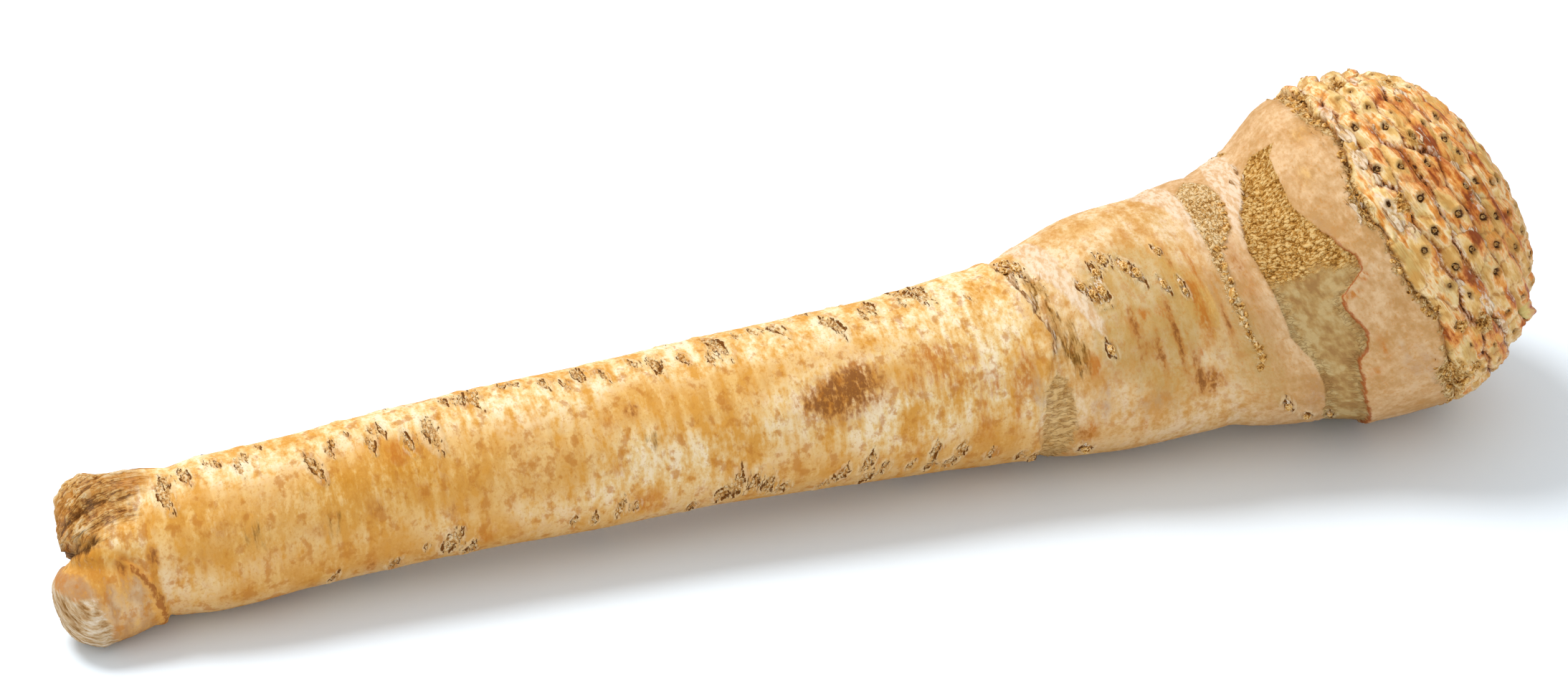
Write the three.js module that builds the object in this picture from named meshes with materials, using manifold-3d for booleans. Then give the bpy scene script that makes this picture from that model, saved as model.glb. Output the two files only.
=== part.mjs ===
// A horseradish root lying on a flat surface, as one closed solid.
// Millimetres, +Z up. The root lies along X: forked tail at -X, crown at +X.
// The origin is on the resting surface, under the centre of the root's bounding box.

import * as THREE from "three";
import { mergeVertices } from "three/addons/utils/BufferGeometryUtils.js";
import Module from "manifold-3d";

const RAD = THREE.MathUtils.degToRad;
const QUARTER = Math.PI / 2;

// ---- driving dimensions ----

const SEGMENTS = 52; // corners of each ring of the body
const CROWN_RADIUS = 35.6; // widest ring, where the collar meets the crown
const CROWN_PITCH = 31; // degrees that the crown looks up
const CROWN_RISE = 31; // height of the crown's dome over that ring
const CROWN_LIFT = 4.2; // how far the dome's apex sits above the middle of the ring
const CROWN_FULLNESS = 0.68; // 1 is an elliptic dome, less is a blunter one
const CONTACT_DEPTH = 0.7; // how far the underside is pressed flat where it rests

// Rings from the tail to the crown's widest ring. x runs along the root from its tail end, z is the
// height of the ring's centre, and pitch is how far the ring's plane leans back, in degrees.
const RINGS = [
  { x: 10, z: 14.2, radius: 8.0, pitch: 0 },
  { x: 14, z: 14.3, radius: 10.8, pitch: 0 },
  { x: 20, z: 14.4, radius: 13.3, pitch: 1 },
  { x: 50, z: 17.0, radius: 14.5, pitch: 2 },
  { x: 80, z: 18.4, radius: 14.9, pitch: 3 },
  { x: 110, z: 19.6, radius: 15.5, pitch: 3 },
  { x: 140, z: 20.3, radius: 16.8, pitch: 3 },
  { x: 170, z: 21.3, radius: 18.4, pitch: 3 },
  { x: 190, z: 22.2, radius: 20.4, pitch: 4 },
  { x: 205, z: 24.9, radius: 23.2, pitch: 8 },
  { x: 220, z: 26.8, radius: 24.4, pitch: 14 },
  { x: 236, z: 27.0, radius: 27.4, pitch: 21 },
  { x: 249, z: 27.2, radius: 31.2, pitch: 27 },
  { x: 261, z: 32.9, radius: CROWN_RADIUS, pitch: CROWN_PITCH },
];
const TAIL_TIP = { x: 6.6, z: 14.8 }; // where the body's first ring closes, between the stumps

// Spacing of the rings: close at the tail's shoulder, wide along the shank, closer from the neck on.
const SHOULDER = { end: 19, step: 2.5 };
const SHANK = { end: 184, step: 8 };
const FLARE_STEP = 3.6;

// Leaf scars run round the crown in rows. Each row rises to a lip and drops to the foot of the next.
const ROWS = 10;
const ROW_HEIGHT = 0.9;
const ROW_DROP = 0.22; // share of a row taken by the drop

// Low grooves round the neck and flare, where dry skin ends in a step.
const GROOVES = [
  { x: 191, depth: 0.9, width: 2.6 },
  { x: 224, depth: 0.7, width: 2.4 },
  { x: 238, depth: 0.8, width: 2.4 },
];

// Long, low swellings that keep the shank from being a perfect cone.
const SWELLING = 0.25;
const SWELLING_FADE = [20, 40]; // x from which they start and where they are full

// Two stumps of side roots at the tail. from and to are the ends of each stump's axis, and blunt is
// the length of its rounded end as a share of the tip's radius.
const STUMPS = [
  { from: [25, 1.5, 17.2], to: [7.0, 4.5, 19.9], radius: 10.2, tip: 8.1, blunt: 0.66 },
  { from: [20, -3.2, 12.8], to: [5.2, -5.8, 8.25], radius: 9.2, tip: 8.6, blunt: 0.73 },
];
const STUMP_SEGMENTS = 28;
const STUMP_BULGE = 0.6; // how much a stump swells in the middle of its length

const BUD = { at: [284.2, -25, 28.5], towards: [0.79, -0.61, 0.05], radius: 2.1, length: 6 };

const SURFACE = { length: 400, width: 200, depth: 40 }; // the block that cuts the contact flats

// ---- the root's axis ----

const spline = new THREE.CubicInterpolant(
  RINGS.map((ring) => ring.x),
  RINGS.flatMap((ring) => [ring.z, ring.radius, ring.pitch]),
  3,
);

// Centre, radius and leaning plane of the ring at x. over runs from 0 at the rim to 1 at the apex.
function ringAt(x) {
  const [z, radius, pitch] = spline.evaluate(x);
  return { centre: new THREE.Vector3(x, 0, z), radius, pitch: RAD(pitch), along: x, over: 0 };
}

// A ring of the crown's dome, given by its share of the way from the rim to the apex.
function domeRing(over) {
  const rim = ringAt(RINGS.at(-1).x);
  const forward = new THREE.Vector3(Math.cos(rim.pitch), 0, Math.sin(rim.pitch));
  const upward = new THREE.Vector3(-Math.sin(rim.pitch), 0, Math.cos(rim.pitch));
  const share = Math.cos(over * QUARTER) ** CROWN_FULLNESS;
  rim.centre.addScaledVector(forward, CROWN_RISE * Math.sin(over * QUARTER));
  rim.centre.addScaledVector(upward, CROWN_LIFT * (1 - share));
  rim.radius *= share;
  rim.over = over;
  return rim;
}

function ringStep(x) {
  if (x < SHOULDER.end) return SHOULDER.step;
  return x < SHANK.end ? SHANK.step : FLARE_STEP;
}

function everyRing() {
  const rings = [];
  const rim = RINGS.at(-1).x;
  for (let x = RINGS[0].x; x < rim - 1; x += ringStep(x)) rings.push(ringAt(x));
  for (let row = 0; row < ROWS; row++) {
    rings.push(domeRing(row / ROWS));
    rings.push(domeRing((row + 1 - ROW_DROP) / ROWS));
  }
  return rings;
}

// ---- relief ----

const bump = (distance, width) => Math.exp(-((distance / width) ** 2));

function swelling(x, turn) {
  const long = Math.sin(x / 17 + 2 * turn);
  const short = Math.sin(x / 9.5 - turn + 1.3);
  const ribs = Math.cos(3 * turn + x / 40);
  return SWELLING * (long + 0.8 * short + 0.8 * ribs);
}

// Height of the skin over the plain ring, at a turn round it.
function relief(ring, turn) {
  const fade = THREE.MathUtils.smoothstep(ring.along, ...SWELLING_FADE) * (1 - ring.over);
  let height = fade * swelling(ring.along, turn);
  for (const groove of GROOVES) {
    const wander = 1.4 * Math.sin(turn * 2 + groove.x) + 0.8 * Math.sin(turn * 5 + 1);
    height -= groove.depth * bump(ring.along - groove.x - wander, groove.width);
  }
  if (ring.over > 0.5 / ROWS) {
    const atLip = (ring.over * ROWS) % 1 > 0.5;
    height += ROW_HEIGHT * (atLip ? 0.5 : -0.5);
  }
  return height;
}

// ---- solids ----

const wasm = await Module();
wasm.setup();

// A closed three.js geometry as a manifold-3d solid.
function solidOf(geometry) {
  const bare = geometry.clone().deleteAttribute("normal").deleteAttribute("uv");
  const merged = mergeVertices(bare, 1e-4);
  return new wasm.Manifold(
    new wasm.Mesh({
      numProp: 3,
      vertProperties: merged.attributes.position.array,
      triVerts: new Uint32Array(merged.index.array),
    }),
  );
}

function geometryOf(solid) {
  const mesh = solid.getMesh();
  const geometry = new THREE.BufferGeometry();
  geometry.setAttribute("position", new THREE.BufferAttribute(mesh.vertProperties, mesh.numProp));
  geometry.setIndex(new THREE.BufferAttribute(mesh.triVerts, 1));
  geometry.computeVertexNormals();
  return geometry;
}

// Turns a geometry made along +Y so that it points along an axis.
function aim(geometry, axis) {
  const turn = new THREE.Quaternion().setFromUnitVectors(new THREE.Vector3(0, 1, 0), axis);
  return geometry.applyQuaternion(turn);
}

// Shank, neck, flare and crown: a lathe of unit rings, each then set on the root's leaning axis.
function bodySolid() {
  const rings = everyRing();
  const last = rings.length;
  const profile = [new THREE.Vector2(0, -1)];
  rings.forEach((ring, k) => profile.push(new THREE.Vector2(1, k)));
  profile.push(new THREE.Vector2(0, last));
  const lathe = new THREE.LatheGeometry(profile, SEGMENTS);
  const place = lathe.attributes.position;
  const tail = new THREE.Vector3(TAIL_TIP.x, 0, TAIL_TIP.z);
  const apex = domeRing(1).centre;
  for (let i = 0; i < place.count; i++) {
    const k = Math.round(place.getY(i));
    if (k < 0 || k === last) {
      place.setXYZ(i, ...(k < 0 ? tail : apex));
      continue;
    }
    const ring = rings[k];
    const turn = Math.atan2(place.getZ(i), -place.getX(i));
    const calm = Math.min(1, ring.radius / 12); // small rings keep less of the relief
    const reach = ring.radius + relief(ring, turn) * calm;
    place.setXYZ(
      i,
      ring.centre.x - reach * Math.sin(turn) * Math.sin(ring.pitch),
      reach * Math.cos(turn),
      ring.centre.z + reach * Math.sin(turn) * Math.cos(ring.pitch),
    );
  }
  return solidOf(lathe);
}

// A tapered stump with a blunt, rounded end, turned from a profile.
function stumpSolid({ from, to, radius, tip, blunt }) {
  const start = new THREE.Vector3(...from);
  const axis = new THREE.Vector3(...to).sub(start);
  const length = axis.length();
  const profile = [new THREE.Vector2(0, 0)];
  for (let k = 0; k <= 4; k++) {
    const share = k / 4;
    const swell = STUMP_BULGE * Math.sin(share * Math.PI);
    profile.push(new THREE.Vector2(THREE.MathUtils.lerp(radius, tip, share) + swell, length * share));
  }
  for (let k = 1; k <= 5; k++) {
    const angle = (k / 6) * QUARTER;
    profile.push(new THREE.Vector2(tip * Math.cos(angle), length + blunt * tip * Math.sin(angle)));
  }
  profile.push(new THREE.Vector2(0, length + blunt * tip));
  const lathe = new THREE.LatheGeometry(profile, STUMP_SEGMENTS);
  return solidOf(aim(lathe, axis.normalize()).translate(...start));
}

// A small pointed bud, half sunk in the crown.
function budSolid() {
  const bud = new THREE.SphereGeometry(BUD.radius, 12, 8);
  bud.scale(1, BUD.length / BUD.radius / 2, 1);
  return solidOf(aim(bud, new THREE.Vector3(...BUD.towards).normalize()).translate(...BUD.at));
}

// Everything below a height, cut away to leave flats where the root touches the surface.
function surfaceSolid(height) {
  const block = new THREE.BoxGeometry(SURFACE.length, SURFACE.width, SURFACE.depth);
  return solidOf(block.translate(SURFACE.length / 2 - 50, 0, height - SURFACE.depth / 2));
}

let root = bodySolid();
for (const stump of STUMPS) root = root.add(stumpSolid(stump));
root = root.add(budSolid());
const lowest = root.boundingBox().min[2];
root = root.subtract(surfaceSolid(lowest + CONTACT_DEPTH));

const skin = geometryOf(root);
skin.computeBoundingBox();
const { min, max } = skin.boundingBox;
skin.translate(-(min.x + max.x) / 2, -(min.y + max.y) / 2, -min.z);

const rootSkin = new THREE.MeshStandardMaterial({ color: 0xdcb679, roughness: 0.62, metalness: 0 });
const mesh = new THREE.Mesh(skin, rootSkin);
mesh.name = "horseradish_root";

const part = new THREE.Group();
part.add(mesh);

export default part;
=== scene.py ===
# %% [markdown]
# # A horseradish root
# A dug and trimmed horseradish root is one living piece: two cut stumps at the tail, a long shank, a
# neck where old skin ends in papery steps, a flare with dry crusts, a smooth collar, and a crown
# paved with the scars of its leaves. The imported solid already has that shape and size. This lesson
# gives it a skin: three finer meshes, relief that follows the root's own map, and materials that
# read the same map.

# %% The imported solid
import math
import random

import bmesh
import bpy
import numpy as np
from mathutils import Matrix, Vector, noise
from mathutils.bvhtree import BVHTree


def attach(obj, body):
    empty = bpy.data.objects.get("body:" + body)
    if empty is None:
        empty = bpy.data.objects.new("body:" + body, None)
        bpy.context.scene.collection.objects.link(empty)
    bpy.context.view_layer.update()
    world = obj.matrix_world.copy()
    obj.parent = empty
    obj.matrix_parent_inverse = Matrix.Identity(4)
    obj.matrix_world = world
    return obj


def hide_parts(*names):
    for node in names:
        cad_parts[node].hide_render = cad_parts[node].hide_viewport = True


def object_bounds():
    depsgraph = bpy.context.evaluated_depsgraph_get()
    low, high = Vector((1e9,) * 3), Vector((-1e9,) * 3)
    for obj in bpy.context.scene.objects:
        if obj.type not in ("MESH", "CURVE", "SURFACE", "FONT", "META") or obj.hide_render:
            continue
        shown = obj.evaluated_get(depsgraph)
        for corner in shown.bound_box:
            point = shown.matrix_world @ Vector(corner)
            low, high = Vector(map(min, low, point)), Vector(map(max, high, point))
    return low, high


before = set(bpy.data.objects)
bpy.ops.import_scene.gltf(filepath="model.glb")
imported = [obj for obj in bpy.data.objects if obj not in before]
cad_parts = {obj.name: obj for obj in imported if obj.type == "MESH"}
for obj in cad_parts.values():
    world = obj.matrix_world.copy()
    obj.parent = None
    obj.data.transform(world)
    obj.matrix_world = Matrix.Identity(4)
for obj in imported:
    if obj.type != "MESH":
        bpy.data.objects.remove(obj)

MM = 0.001
CAD_NODE = "horseradish_root"
BODY = "root"
cad_low, cad_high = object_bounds()
print("CAD box, mm:", [round(side / MM, 1) for side in cad_high - cad_low])

# %% [markdown]
# ## The camera
# A long lens from well above the root's tail end keeps the crown from ballooning. The aim and the
# distance are in millimetres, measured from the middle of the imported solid's box.

# %% Camera
LENS = 85
CAMERA_TURN = -18.69
CAMERA_HEIGHT = 30
CAMERA_DISTANCE = 704.5
middle = (cad_low + cad_high) / 2
aim = middle + Vector((-5.8, 0, 0.67)) * MM


def away(turn, height):
    """The direction from the root to a camera or a lamp, by its turn and height in degrees."""
    turn, height = math.radians(turn), math.radians(height)
    flat = math.cos(height)
    return Vector((math.sin(turn) * flat, -math.cos(turn) * flat, math.sin(height)))


def look_at(thing, place):
    """Turns a camera or a lamp towards a place."""
    thing.rotation_euler = (place - thing.location).to_track_quat("-Z", "Y").to_euler()


def in_scene(name, data):
    """A new object in the scene."""
    thing = bpy.data.objects.new(name, data)
    bpy.context.collection.objects.link(thing)
    return thing


camera = in_scene("camera", bpy.data.cameras.new("camera"))
camera.data.lens = LENS
camera.location = aim + away(CAMERA_TURN, CAMERA_HEIGHT) * CAMERA_DISTANCE * MM
look_at(camera, aim)
bpy.context.scene.camera = camera
print("camera at, mm:", [round(part / MM) for part in camera.location])

# %% [markdown]
# ## Table and light
# A plain table top is enough, because the root should be the only thing with colour. It is painted a
# very pale blue, which cancels the warm light that the root throws on it, so it looks white. One
# broad lamp behind and above the root gives the bright upper edge and the soft shadow in front, and
# a weak one in front lifts the near side. White surroundings fill the rest, as a studio's walls do.

# %% Table and lamps
FLOOR_SIDE = 8.0
FLOOR_COLOUR = (0.84, 0.925, 1, 1)
FLOOR_ROUGHNESS = 0.9
LAMPS = [
    # name, turn, height, distance in metres, side in metres, watts
    ("key", 222, 60, 1.3, 0.55, 12.5),
    ("front_fill", -20, 12, 1.6, 1.2, 3),
]
SURROUNDINGS = 0.79

bpy.ops.mesh.primitive_plane_add(size=FLOOR_SIDE)
floor = bpy.context.object
floor.name = "floor"
floor_paint = bpy.data.materials.new("floor_paint")
floor_paint.use_nodes = True
floor_shader = floor_paint.node_tree.nodes["Principled BSDF"]
floor_shader.inputs["Base Color"].default_value = FLOOR_COLOUR
floor_shader.inputs["Roughness"].default_value = FLOOR_ROUGHNESS
floor.data.materials.append(floor_paint)

for name, turn, height, distance, side, watts in LAMPS:
    lamp = bpy.data.lights.new(name, "AREA")
    lamp.shape = "DISK"
    lamp.size = side
    lamp.energy = watts
    stand = in_scene(name, lamp)
    stand.location = middle + away(turn, height) * distance
    look_at(stand, middle)

world = bpy.data.worlds.new("white_surroundings")
world.use_nodes = True
background = world.node_tree.nodes["Background"]
background.inputs["Color"].default_value = (1, 1, 1, 1)
background.inputs["Strength"].default_value = SURROUNDINGS
bpy.context.scene.world = world
bpy.context.scene.view_settings.view_transform = "Standard"
print("lamps:", [row[0] for row in LAMPS])

# %% [markdown]
# ## A map of the root
# Every mark on a root has a place along it and a place round it. So each point of the skin gets two
# numbers: `along`, in millimetres from the tail end, and `turn`, in degrees round the axis, where 90
# is the top and 180 is the near side. The rings are the ones that the solid was turned from, but for
# the first, which stands for the two at the tail: their place along the axis, the height of their
# centre, and how far they lean back. The crown is a dome on the last ring, and there `along` goes on
# to its apex.

# %% The rings
RING_ALONG = [5, 20, 50, 80, 110, 140, 170, 190, 205, 220, 236, 249, 261]
RING_HEIGHT = [14.2, 14.4, 17.0, 18.4, 19.6, 20.3, 21.3, 22.2, 24.9, 26.8, 27.0, 27.2, 32.9]
RING_LEAN = [0, 1, 2, 3, 3, 3, 3, 4, 8, 14, 21, 27, 31]
RING_RADIUS = [8, 13.3, 14.5, 14.9, 15.5, 16.8, 18.4, 20.4, 23.2, 24.4, 27.4, 31.2, 35.6]
RIM = RING_ALONG[-1]
DOME_RISE = 31
DOME_LIFT = 4.2
DOME_FULLNESS = 0.68
DOME_LENGTH = 52
TAIL_OVERHANG = 1.2  # how far the tail's stumps reach behind the start of the map
PRESSED = 0.3  # how far the contact flats raise the map over the table
MAP_START = np.array([cad_low.x / MM + TAIL_OVERHANG, 0, PRESSED])
AXIS_ROUNDS = 12  # a point's ring is found in rounds, each going most of the way that is left
AXIS_EAGERNESS = 0.9
DOME_ROUNDS = 8
TINY = 1e-6
print(len(RING_ALONG), "rings, and a dome on the last one")

# %% Reading the map
def dome_share(over):
    """Radius of a dome ring as a share of the rim's, for 0 at the rim to 1 at the apex."""
    return np.maximum(np.cos(over * math.pi / 2), TINY) ** DOME_FULLNESS


def root_map(points):
    """Place along the root, turn round it and distance from its axis, for points in millimetres."""
    x, y, z = (points - MAP_START).T
    along = x.copy()
    for _ in range(AXIS_ROUNDS):
        at = np.clip(along, RING_ALONG[0], RIM)
        lean = np.radians(np.interp(at, RING_ALONG, RING_LEAN))
        rise = z - np.interp(at, RING_ALONG, RING_HEIGHT)
        along = at + AXIS_EAGERNESS * ((x - at) * np.cos(lean) + rise * np.sin(lean))
    up = -(x - at) * np.sin(lean) + rise * np.cos(lean)
    lean = math.radians(RING_LEAN[-1])
    ahead = (x - RIM) * math.cos(lean) + (z - RING_HEIGHT[-1]) * math.sin(lean)
    dome_up = -(x - RIM) * math.sin(lean) + (z - RING_HEIGHT[-1]) * math.cos(lean)
    over = np.zeros_like(x)
    for _ in range(DOME_ROUNDS):
        lifted = dome_up - DOME_LIFT * (1 - dome_share(over))
        share = np.maximum(np.hypot(lifted, y) / RING_RADIUS[-1], TINY)
        rise_share = np.maximum(ahead, 0) / DOME_RISE
        over = np.arctan2(rise_share, share ** (1 / DOME_FULLNESS)) * 2 / math.pi
    on_dome = ahead > 0
    along = np.where(on_dome, RIM + over * DOME_LENGTH, along)
    up = np.where(on_dome, lifted, up)
    return along, np.degrees(np.arctan2(up, y)) % 360, np.hypot(up, y)


def on_root(along, turn):
    """The point of the plain, smooth root at a place of the map, in millimetres."""
    at = min(along, RIM)
    over = max(0, along - RIM) / DOME_LENGTH
    lean = math.radians(np.interp(at, RING_ALONG, RING_LEAN))
    share = float(dome_share(over))
    rise = DOME_RISE * math.sin(over * math.pi / 2)
    lift = DOME_LIFT * (1 - share)
    reach = float(np.interp(at, RING_ALONG, RING_RADIUS)) * share
    turn = math.radians(turn)
    up = lift + reach * math.sin(turn)
    x = at + rise * math.cos(lean) - up * math.sin(lean)
    z = float(np.interp(at, RING_ALONG, RING_HEIGHT)) + rise * math.sin(lean) + up * math.cos(lean)
    return MAP_START + np.array([x, reach * math.cos(turn), z])


def half_across(along, turn):
    """Half the plain root's thickness at a place of the map, in millimetres."""
    return np.linalg.norm(on_root(along, turn) - on_root(along, turn + 180)) / 2


def straightened(along, turn, reach):
    """Places of the map as points of a root without bends: along it, across it and up, in mm."""
    angle = np.radians(turn)
    return np.stack([along, reach * np.cos(angle), reach * np.sin(angle)], axis=1)


def turned(turn, start):
    """How far a turn is past another, from -180 to 180 degrees."""
    return (turn - start + 180) % 360 - 180


print("apex of the crown, mm:", on_root(RIM + DOME_LENGTH, 90).round(1))

# %% [markdown]
# ## Three zones of skin
# One fine mesh over the whole root would need too many faces, so the skin is made in three: shank,
# flare and crown. They part at the neck and at the collar, where real skin steps down anyway, and
# each reaches a little under its neighbour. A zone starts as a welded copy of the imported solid, cut
# by a plane where it ends, with two lumps of flesh that fill the fork of the tail. A voxel remesh then
# gives even faces, which no lathe or subdivision would do over the joined stumps, and a smoothing
# takes the facets away.

# %% Cutting, remeshing and smoothing
ZONES = {
    # name: (first ring, last ring, voxel in mm)
    "root_shank": (None, 194, 0.46),
    "root_flare": (182, 273, 0.42),
    "root_crown": (256, None, 0.34),
}
SMOOTHINGS = 14
WELD = 0.001  # points of the solid that are this near are one, in mm
TAIL_FLESH = [
    # x, y, z of an ellipsoid between the stumps, its half length and half thickness
    (16, -3.8, 16.6, 13.5, 6.8),
    (16, 3.0, 11.6, 13.5, 6.8),
]


def ring_plane(along):
    """A point and the forward direction of the ring at a place along the root, in metres."""
    lean = math.radians(np.interp(min(along, RIM), RING_ALONG, RING_LEAN))
    forward = Vector((math.cos(lean), 0, math.sin(lean)))
    centre = (on_root(along, 90) + on_root(along, 270)) / 2
    return Vector(centre) * MM, forward


def cut(shape, along, keep_front):
    """Cuts a bmesh by a ring's plane, and closes the cut with a cap."""
    point, forward = ring_plane(along)
    everything = shape.verts[:] + shape.edges[:] + shape.faces[:]
    bmesh.ops.bisect_plane(
        shape,
        geom=everything,
        plane_co=point,
        plane_no=forward,
        clear_inner=keep_front,
        clear_outer=not keep_front,
    )
    rim = [edge for edge in shape.edges if edge.is_boundary]
    bmesh.ops.contextual_create(shape, geom=rim)


def apply_modifiers(zone):
    """Puts what a zone's modifiers make into its mesh, smoothly shaded."""
    graph = bpy.context.evaluated_depsgraph_get()
    mesh = bpy.data.meshes.new_from_object(zone.evaluated_get(graph))
    zone.modifiers.clear()
    zone.data = mesh
    mesh.shade_smooth()


def mesh_from(shape, name):
    """Turns a bmesh into a mesh."""
    mesh = bpy.data.meshes.new(name)
    shape.to_mesh(mesh)
    shape.free()
    return mesh


def triangles(zone):
    """How many triangles a zone's mesh has."""
    zone.data.calc_loop_triangles()
    return len(zone.data.loop_triangles)


def skin_zone(name, first, last, voxel):
    """A closed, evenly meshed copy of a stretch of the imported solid."""
    shape = bmesh.new()
    shape.from_mesh(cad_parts[CAD_NODE].data)
    bmesh.ops.remove_doubles(shape, verts=shape.verts, dist=WELD * MM)
    if first is None:
        for x, y, z, length, thickness in TAIL_FLESH:
            place = Matrix.Translation(Vector(MAP_START + np.array([x, y, z])) * MM)
            size = Matrix.Diagonal((length * MM, thickness * MM, thickness * MM, 1))
            bmesh.ops.create_uvsphere(shape, u_segments=32, v_segments=16, radius=1, matrix=place @ size)
    else:
        cut(shape, first, keep_front=True)
    if last is not None:
        cut(shape, last, keep_front=False)
    zone = in_scene(name, mesh_from(shape, name))
    remesh = zone.modifiers.new("even_faces", "REMESH")
    remesh.mode = "VOXEL"
    remesh.voxel_size = voxel * MM
    smooth = zone.modifiers.new("no_facets", "SMOOTH")
    smooth.iterations = SMOOTHINGS
    apply_modifiers(zone)
    zone.data.materials.clear()
    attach(zone, BODY)
    return zone


zones = {name: skin_zone(name, *row) for name, row in ZONES.items()}
shank, flare, crown = zones.values()
for zone in zones.values():
    print(zone.name, triangles(zone), "triangles")

# %% [markdown]
# ## Reading a skin as numbers
# A hundred thousand points are too many to move one by one, so each zone's points, normals and map
# places are read into arrays. A `Skin` collects two things: a height for every point, in
# millimetres, and named marks that the materials will read as attributes. Most marks say how far
# inside a region a point lies, also in millimetres. Such a distance stays sharp when a material cuts
# it at zero, even between the mesh's points.

# %% The Skin class
INSIDE = 6.0  # a region's distance is kept within this many millimetres
FAR = 6.0  # a place that is this many scar sizes away has nothing to do with the scar
CM = 10  # the straightened places are stored in centimetres
OFF_TABLE = 0.02  # millimetres that the lowest points keep from the table
SEED_SHIFT = 17.3  # how far apart two seeds are in the noise
FRACTAL = (0.9, 2.1)  # how fast the octaves of a noise fade, and how much finer each one is


class Skin:
    """A zone's mesh as arrays: places, map, height to add, and marks for the materials."""

    def __init__(self, zone):
        self.mesh = zone.data
        count = len(self.mesh.vertices)
        flat = np.empty(count * 3, np.float32)
        self.mesh.vertices.foreach_get("co", flat)
        self.points = flat.reshape(-1, 3).astype(float) / MM
        self.mesh.vertices.foreach_get("normal", flat)
        self.normals = flat.reshape(-1, 3).astype(float)
        self.along, self.turn, self.reach = root_map(self.points)
        self.straight = straightened(self.along, self.turn, self.reach)
        self.fibre_way = self.straight
        self.height = np.zeros(count)
        self.nearest = np.full(count, FAR)  # from the nearest scar, in that scar's own size
        self.marks = {name: np.full(count, FAR) for name in ("across", "down", "apart")}
        self.marks["knot"] = np.zeros(count)

    def arc(self, turn):
        """Millimetres round the girth from a turn, positive towards the near side and below."""
        return np.radians(turned(self.turn, turn)) * self.reach

    def grain(self, size, seed, octaves=2, way="straight"):
        """Noise between about -1 and 1. size is the grain in mm: along the way, and across it."""
        places = getattr(self, way) / np.array([size[0], size[1], size[1]]) + SEED_SHIFT * seed
        return np.array([noise.fractal(place, *FRACTAL, octaves) for place in places.tolist()])

    def add(self, name, amount):
        """Adds to a mark that is an amount, such as a stain."""
        self.marks[name] = self.marks.get(name, 0) + amount

    def include(self, name, inside):
        """Joins a region to a mark that is a distance: the deeper inside wins."""
        inside = np.clip(inside, -INSIDE, INSIDE)
        self.marks[name] = np.maximum(self.marks.get(name, -INSIDE), inside)

    def settle(self):
        """Moves the points by their height, keeps them off the table, and stores the marks."""
        moved = self.points + self.normals * self.height[:, None]
        moved[:, 2] = np.maximum(moved[:, 2], OFF_TABLE)
        self.mesh.vertices.foreach_set("co", (moved * MM).astype(np.float32).ravel())
        for name, values in self.marks.items():
            mark = self.mesh.attributes.new(name, "FLOAT", "POINT")
            mark.data.foreach_set("value", np.broadcast_to(values, len(moved)).astype(np.float32))
        for name, places in (("straight", self.straight), ("fibre_way", self.fibre_way)):
            way = self.mesh.attributes.new(name, "FLOAT_VECTOR", "POINT")
            way.data.foreach_set("vector", (places / CM).astype(np.float32).ravel())
        self.mesh.update()


# %% Soft steps, humps and lines
def smooth_step(value, start, full):
    """0 up to start, 1 from full on, and smooth between. full may be the smaller one."""
    share = np.clip((value - start) / (full - start), 0, 1)
    return share * share * (3 - 2 * share)


def round_step(turn, start, full, thin, end):
    """1 from the turn full to the turn thin, fading out to the turns start and end."""
    return smooth_step(turn, start, full) * smooth_step(turn, end, thin)


def hump(distance, width):
    """1 at a distance of zero, fading out over a width."""
    return np.exp(-((distance / width) ** 2))


def round_line(turns_and_alongs, turn):
    """A line that runs round the root: its place along the root at each turn."""
    turns, alongs = zip(*turns_and_alongs)
    return np.interp(turn % 360, turns, alongs, period=360)


print("a step at 0, 1/4, 1/2 and 1:", smooth_step(np.array([0, 0.25, 0.5, 1]), 0, 1))

# %% The three skins
skins = {name: Skin(zone) for name, zone in zones.items()}
shank_skin, flare_skin, crown_skin = skins.values()
for name, skin in skins.items():
    print(name, len(skin.points), "points, along", skin.along.min().round(), skin.along.max().round())

# %% [markdown]
# ## Where the zones meet
# The two seams follow lines that real skin has: a torn flap round the neck, and a trench of dead
# fibre round the collar. On each side of a line the skin dives under its neighbour, so the seams are
# two overlapping edges and never a gap.

# %% The neck flap and the collar trench
NECK_FLAP = [
    # turn, along
    (20, 187), (62, 186), (79, 186), (90, 186.5), (100, 187), (118, 188.5), (130, 189.5),
    (140, 190.5), (147, 190.5), (158, 189), (170, 187), (190, 186), (206, 186.5), (225, 187), (300, 188),
]
TRENCH = [
    # turn, along
    (0, 264), (40, 267), (80, 269), (90, 268), (104, 269), (112, 268), (120, 266), (127, 264),
    (133, 263.5), (140, 264), (150, 262.7), (160, 262.2), (167, 262.6), (175, 263.4), (185, 262),
    (195, 261), (210, 260), (240, 260), (300, 261),
]
FLAP_DIVE = 2.2  # how far an edge goes under its neighbour, in mm
FLAP_SWELL = 0.45  # how far the flap stands up just before its edge
FLAP_GROOVE = 0.5  # how far the flare sinks just past that edge
TRENCH_DIVE = 2.6


def wandering(skin, line, seed, size=2.5, by=0.5):
    """A round line as seen from every point of a skin, made less even by noise."""
    return round_line(line, skin.turn) + by * skin.grain((size * 2, size), seed)


for skin in skins.values():
    skin.past_flap = skin.along - wandering(skin, NECK_FLAP, 1)
    skin.past_trench = skin.along - wandering(skin, TRENCH, 2, by=0.7)

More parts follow.
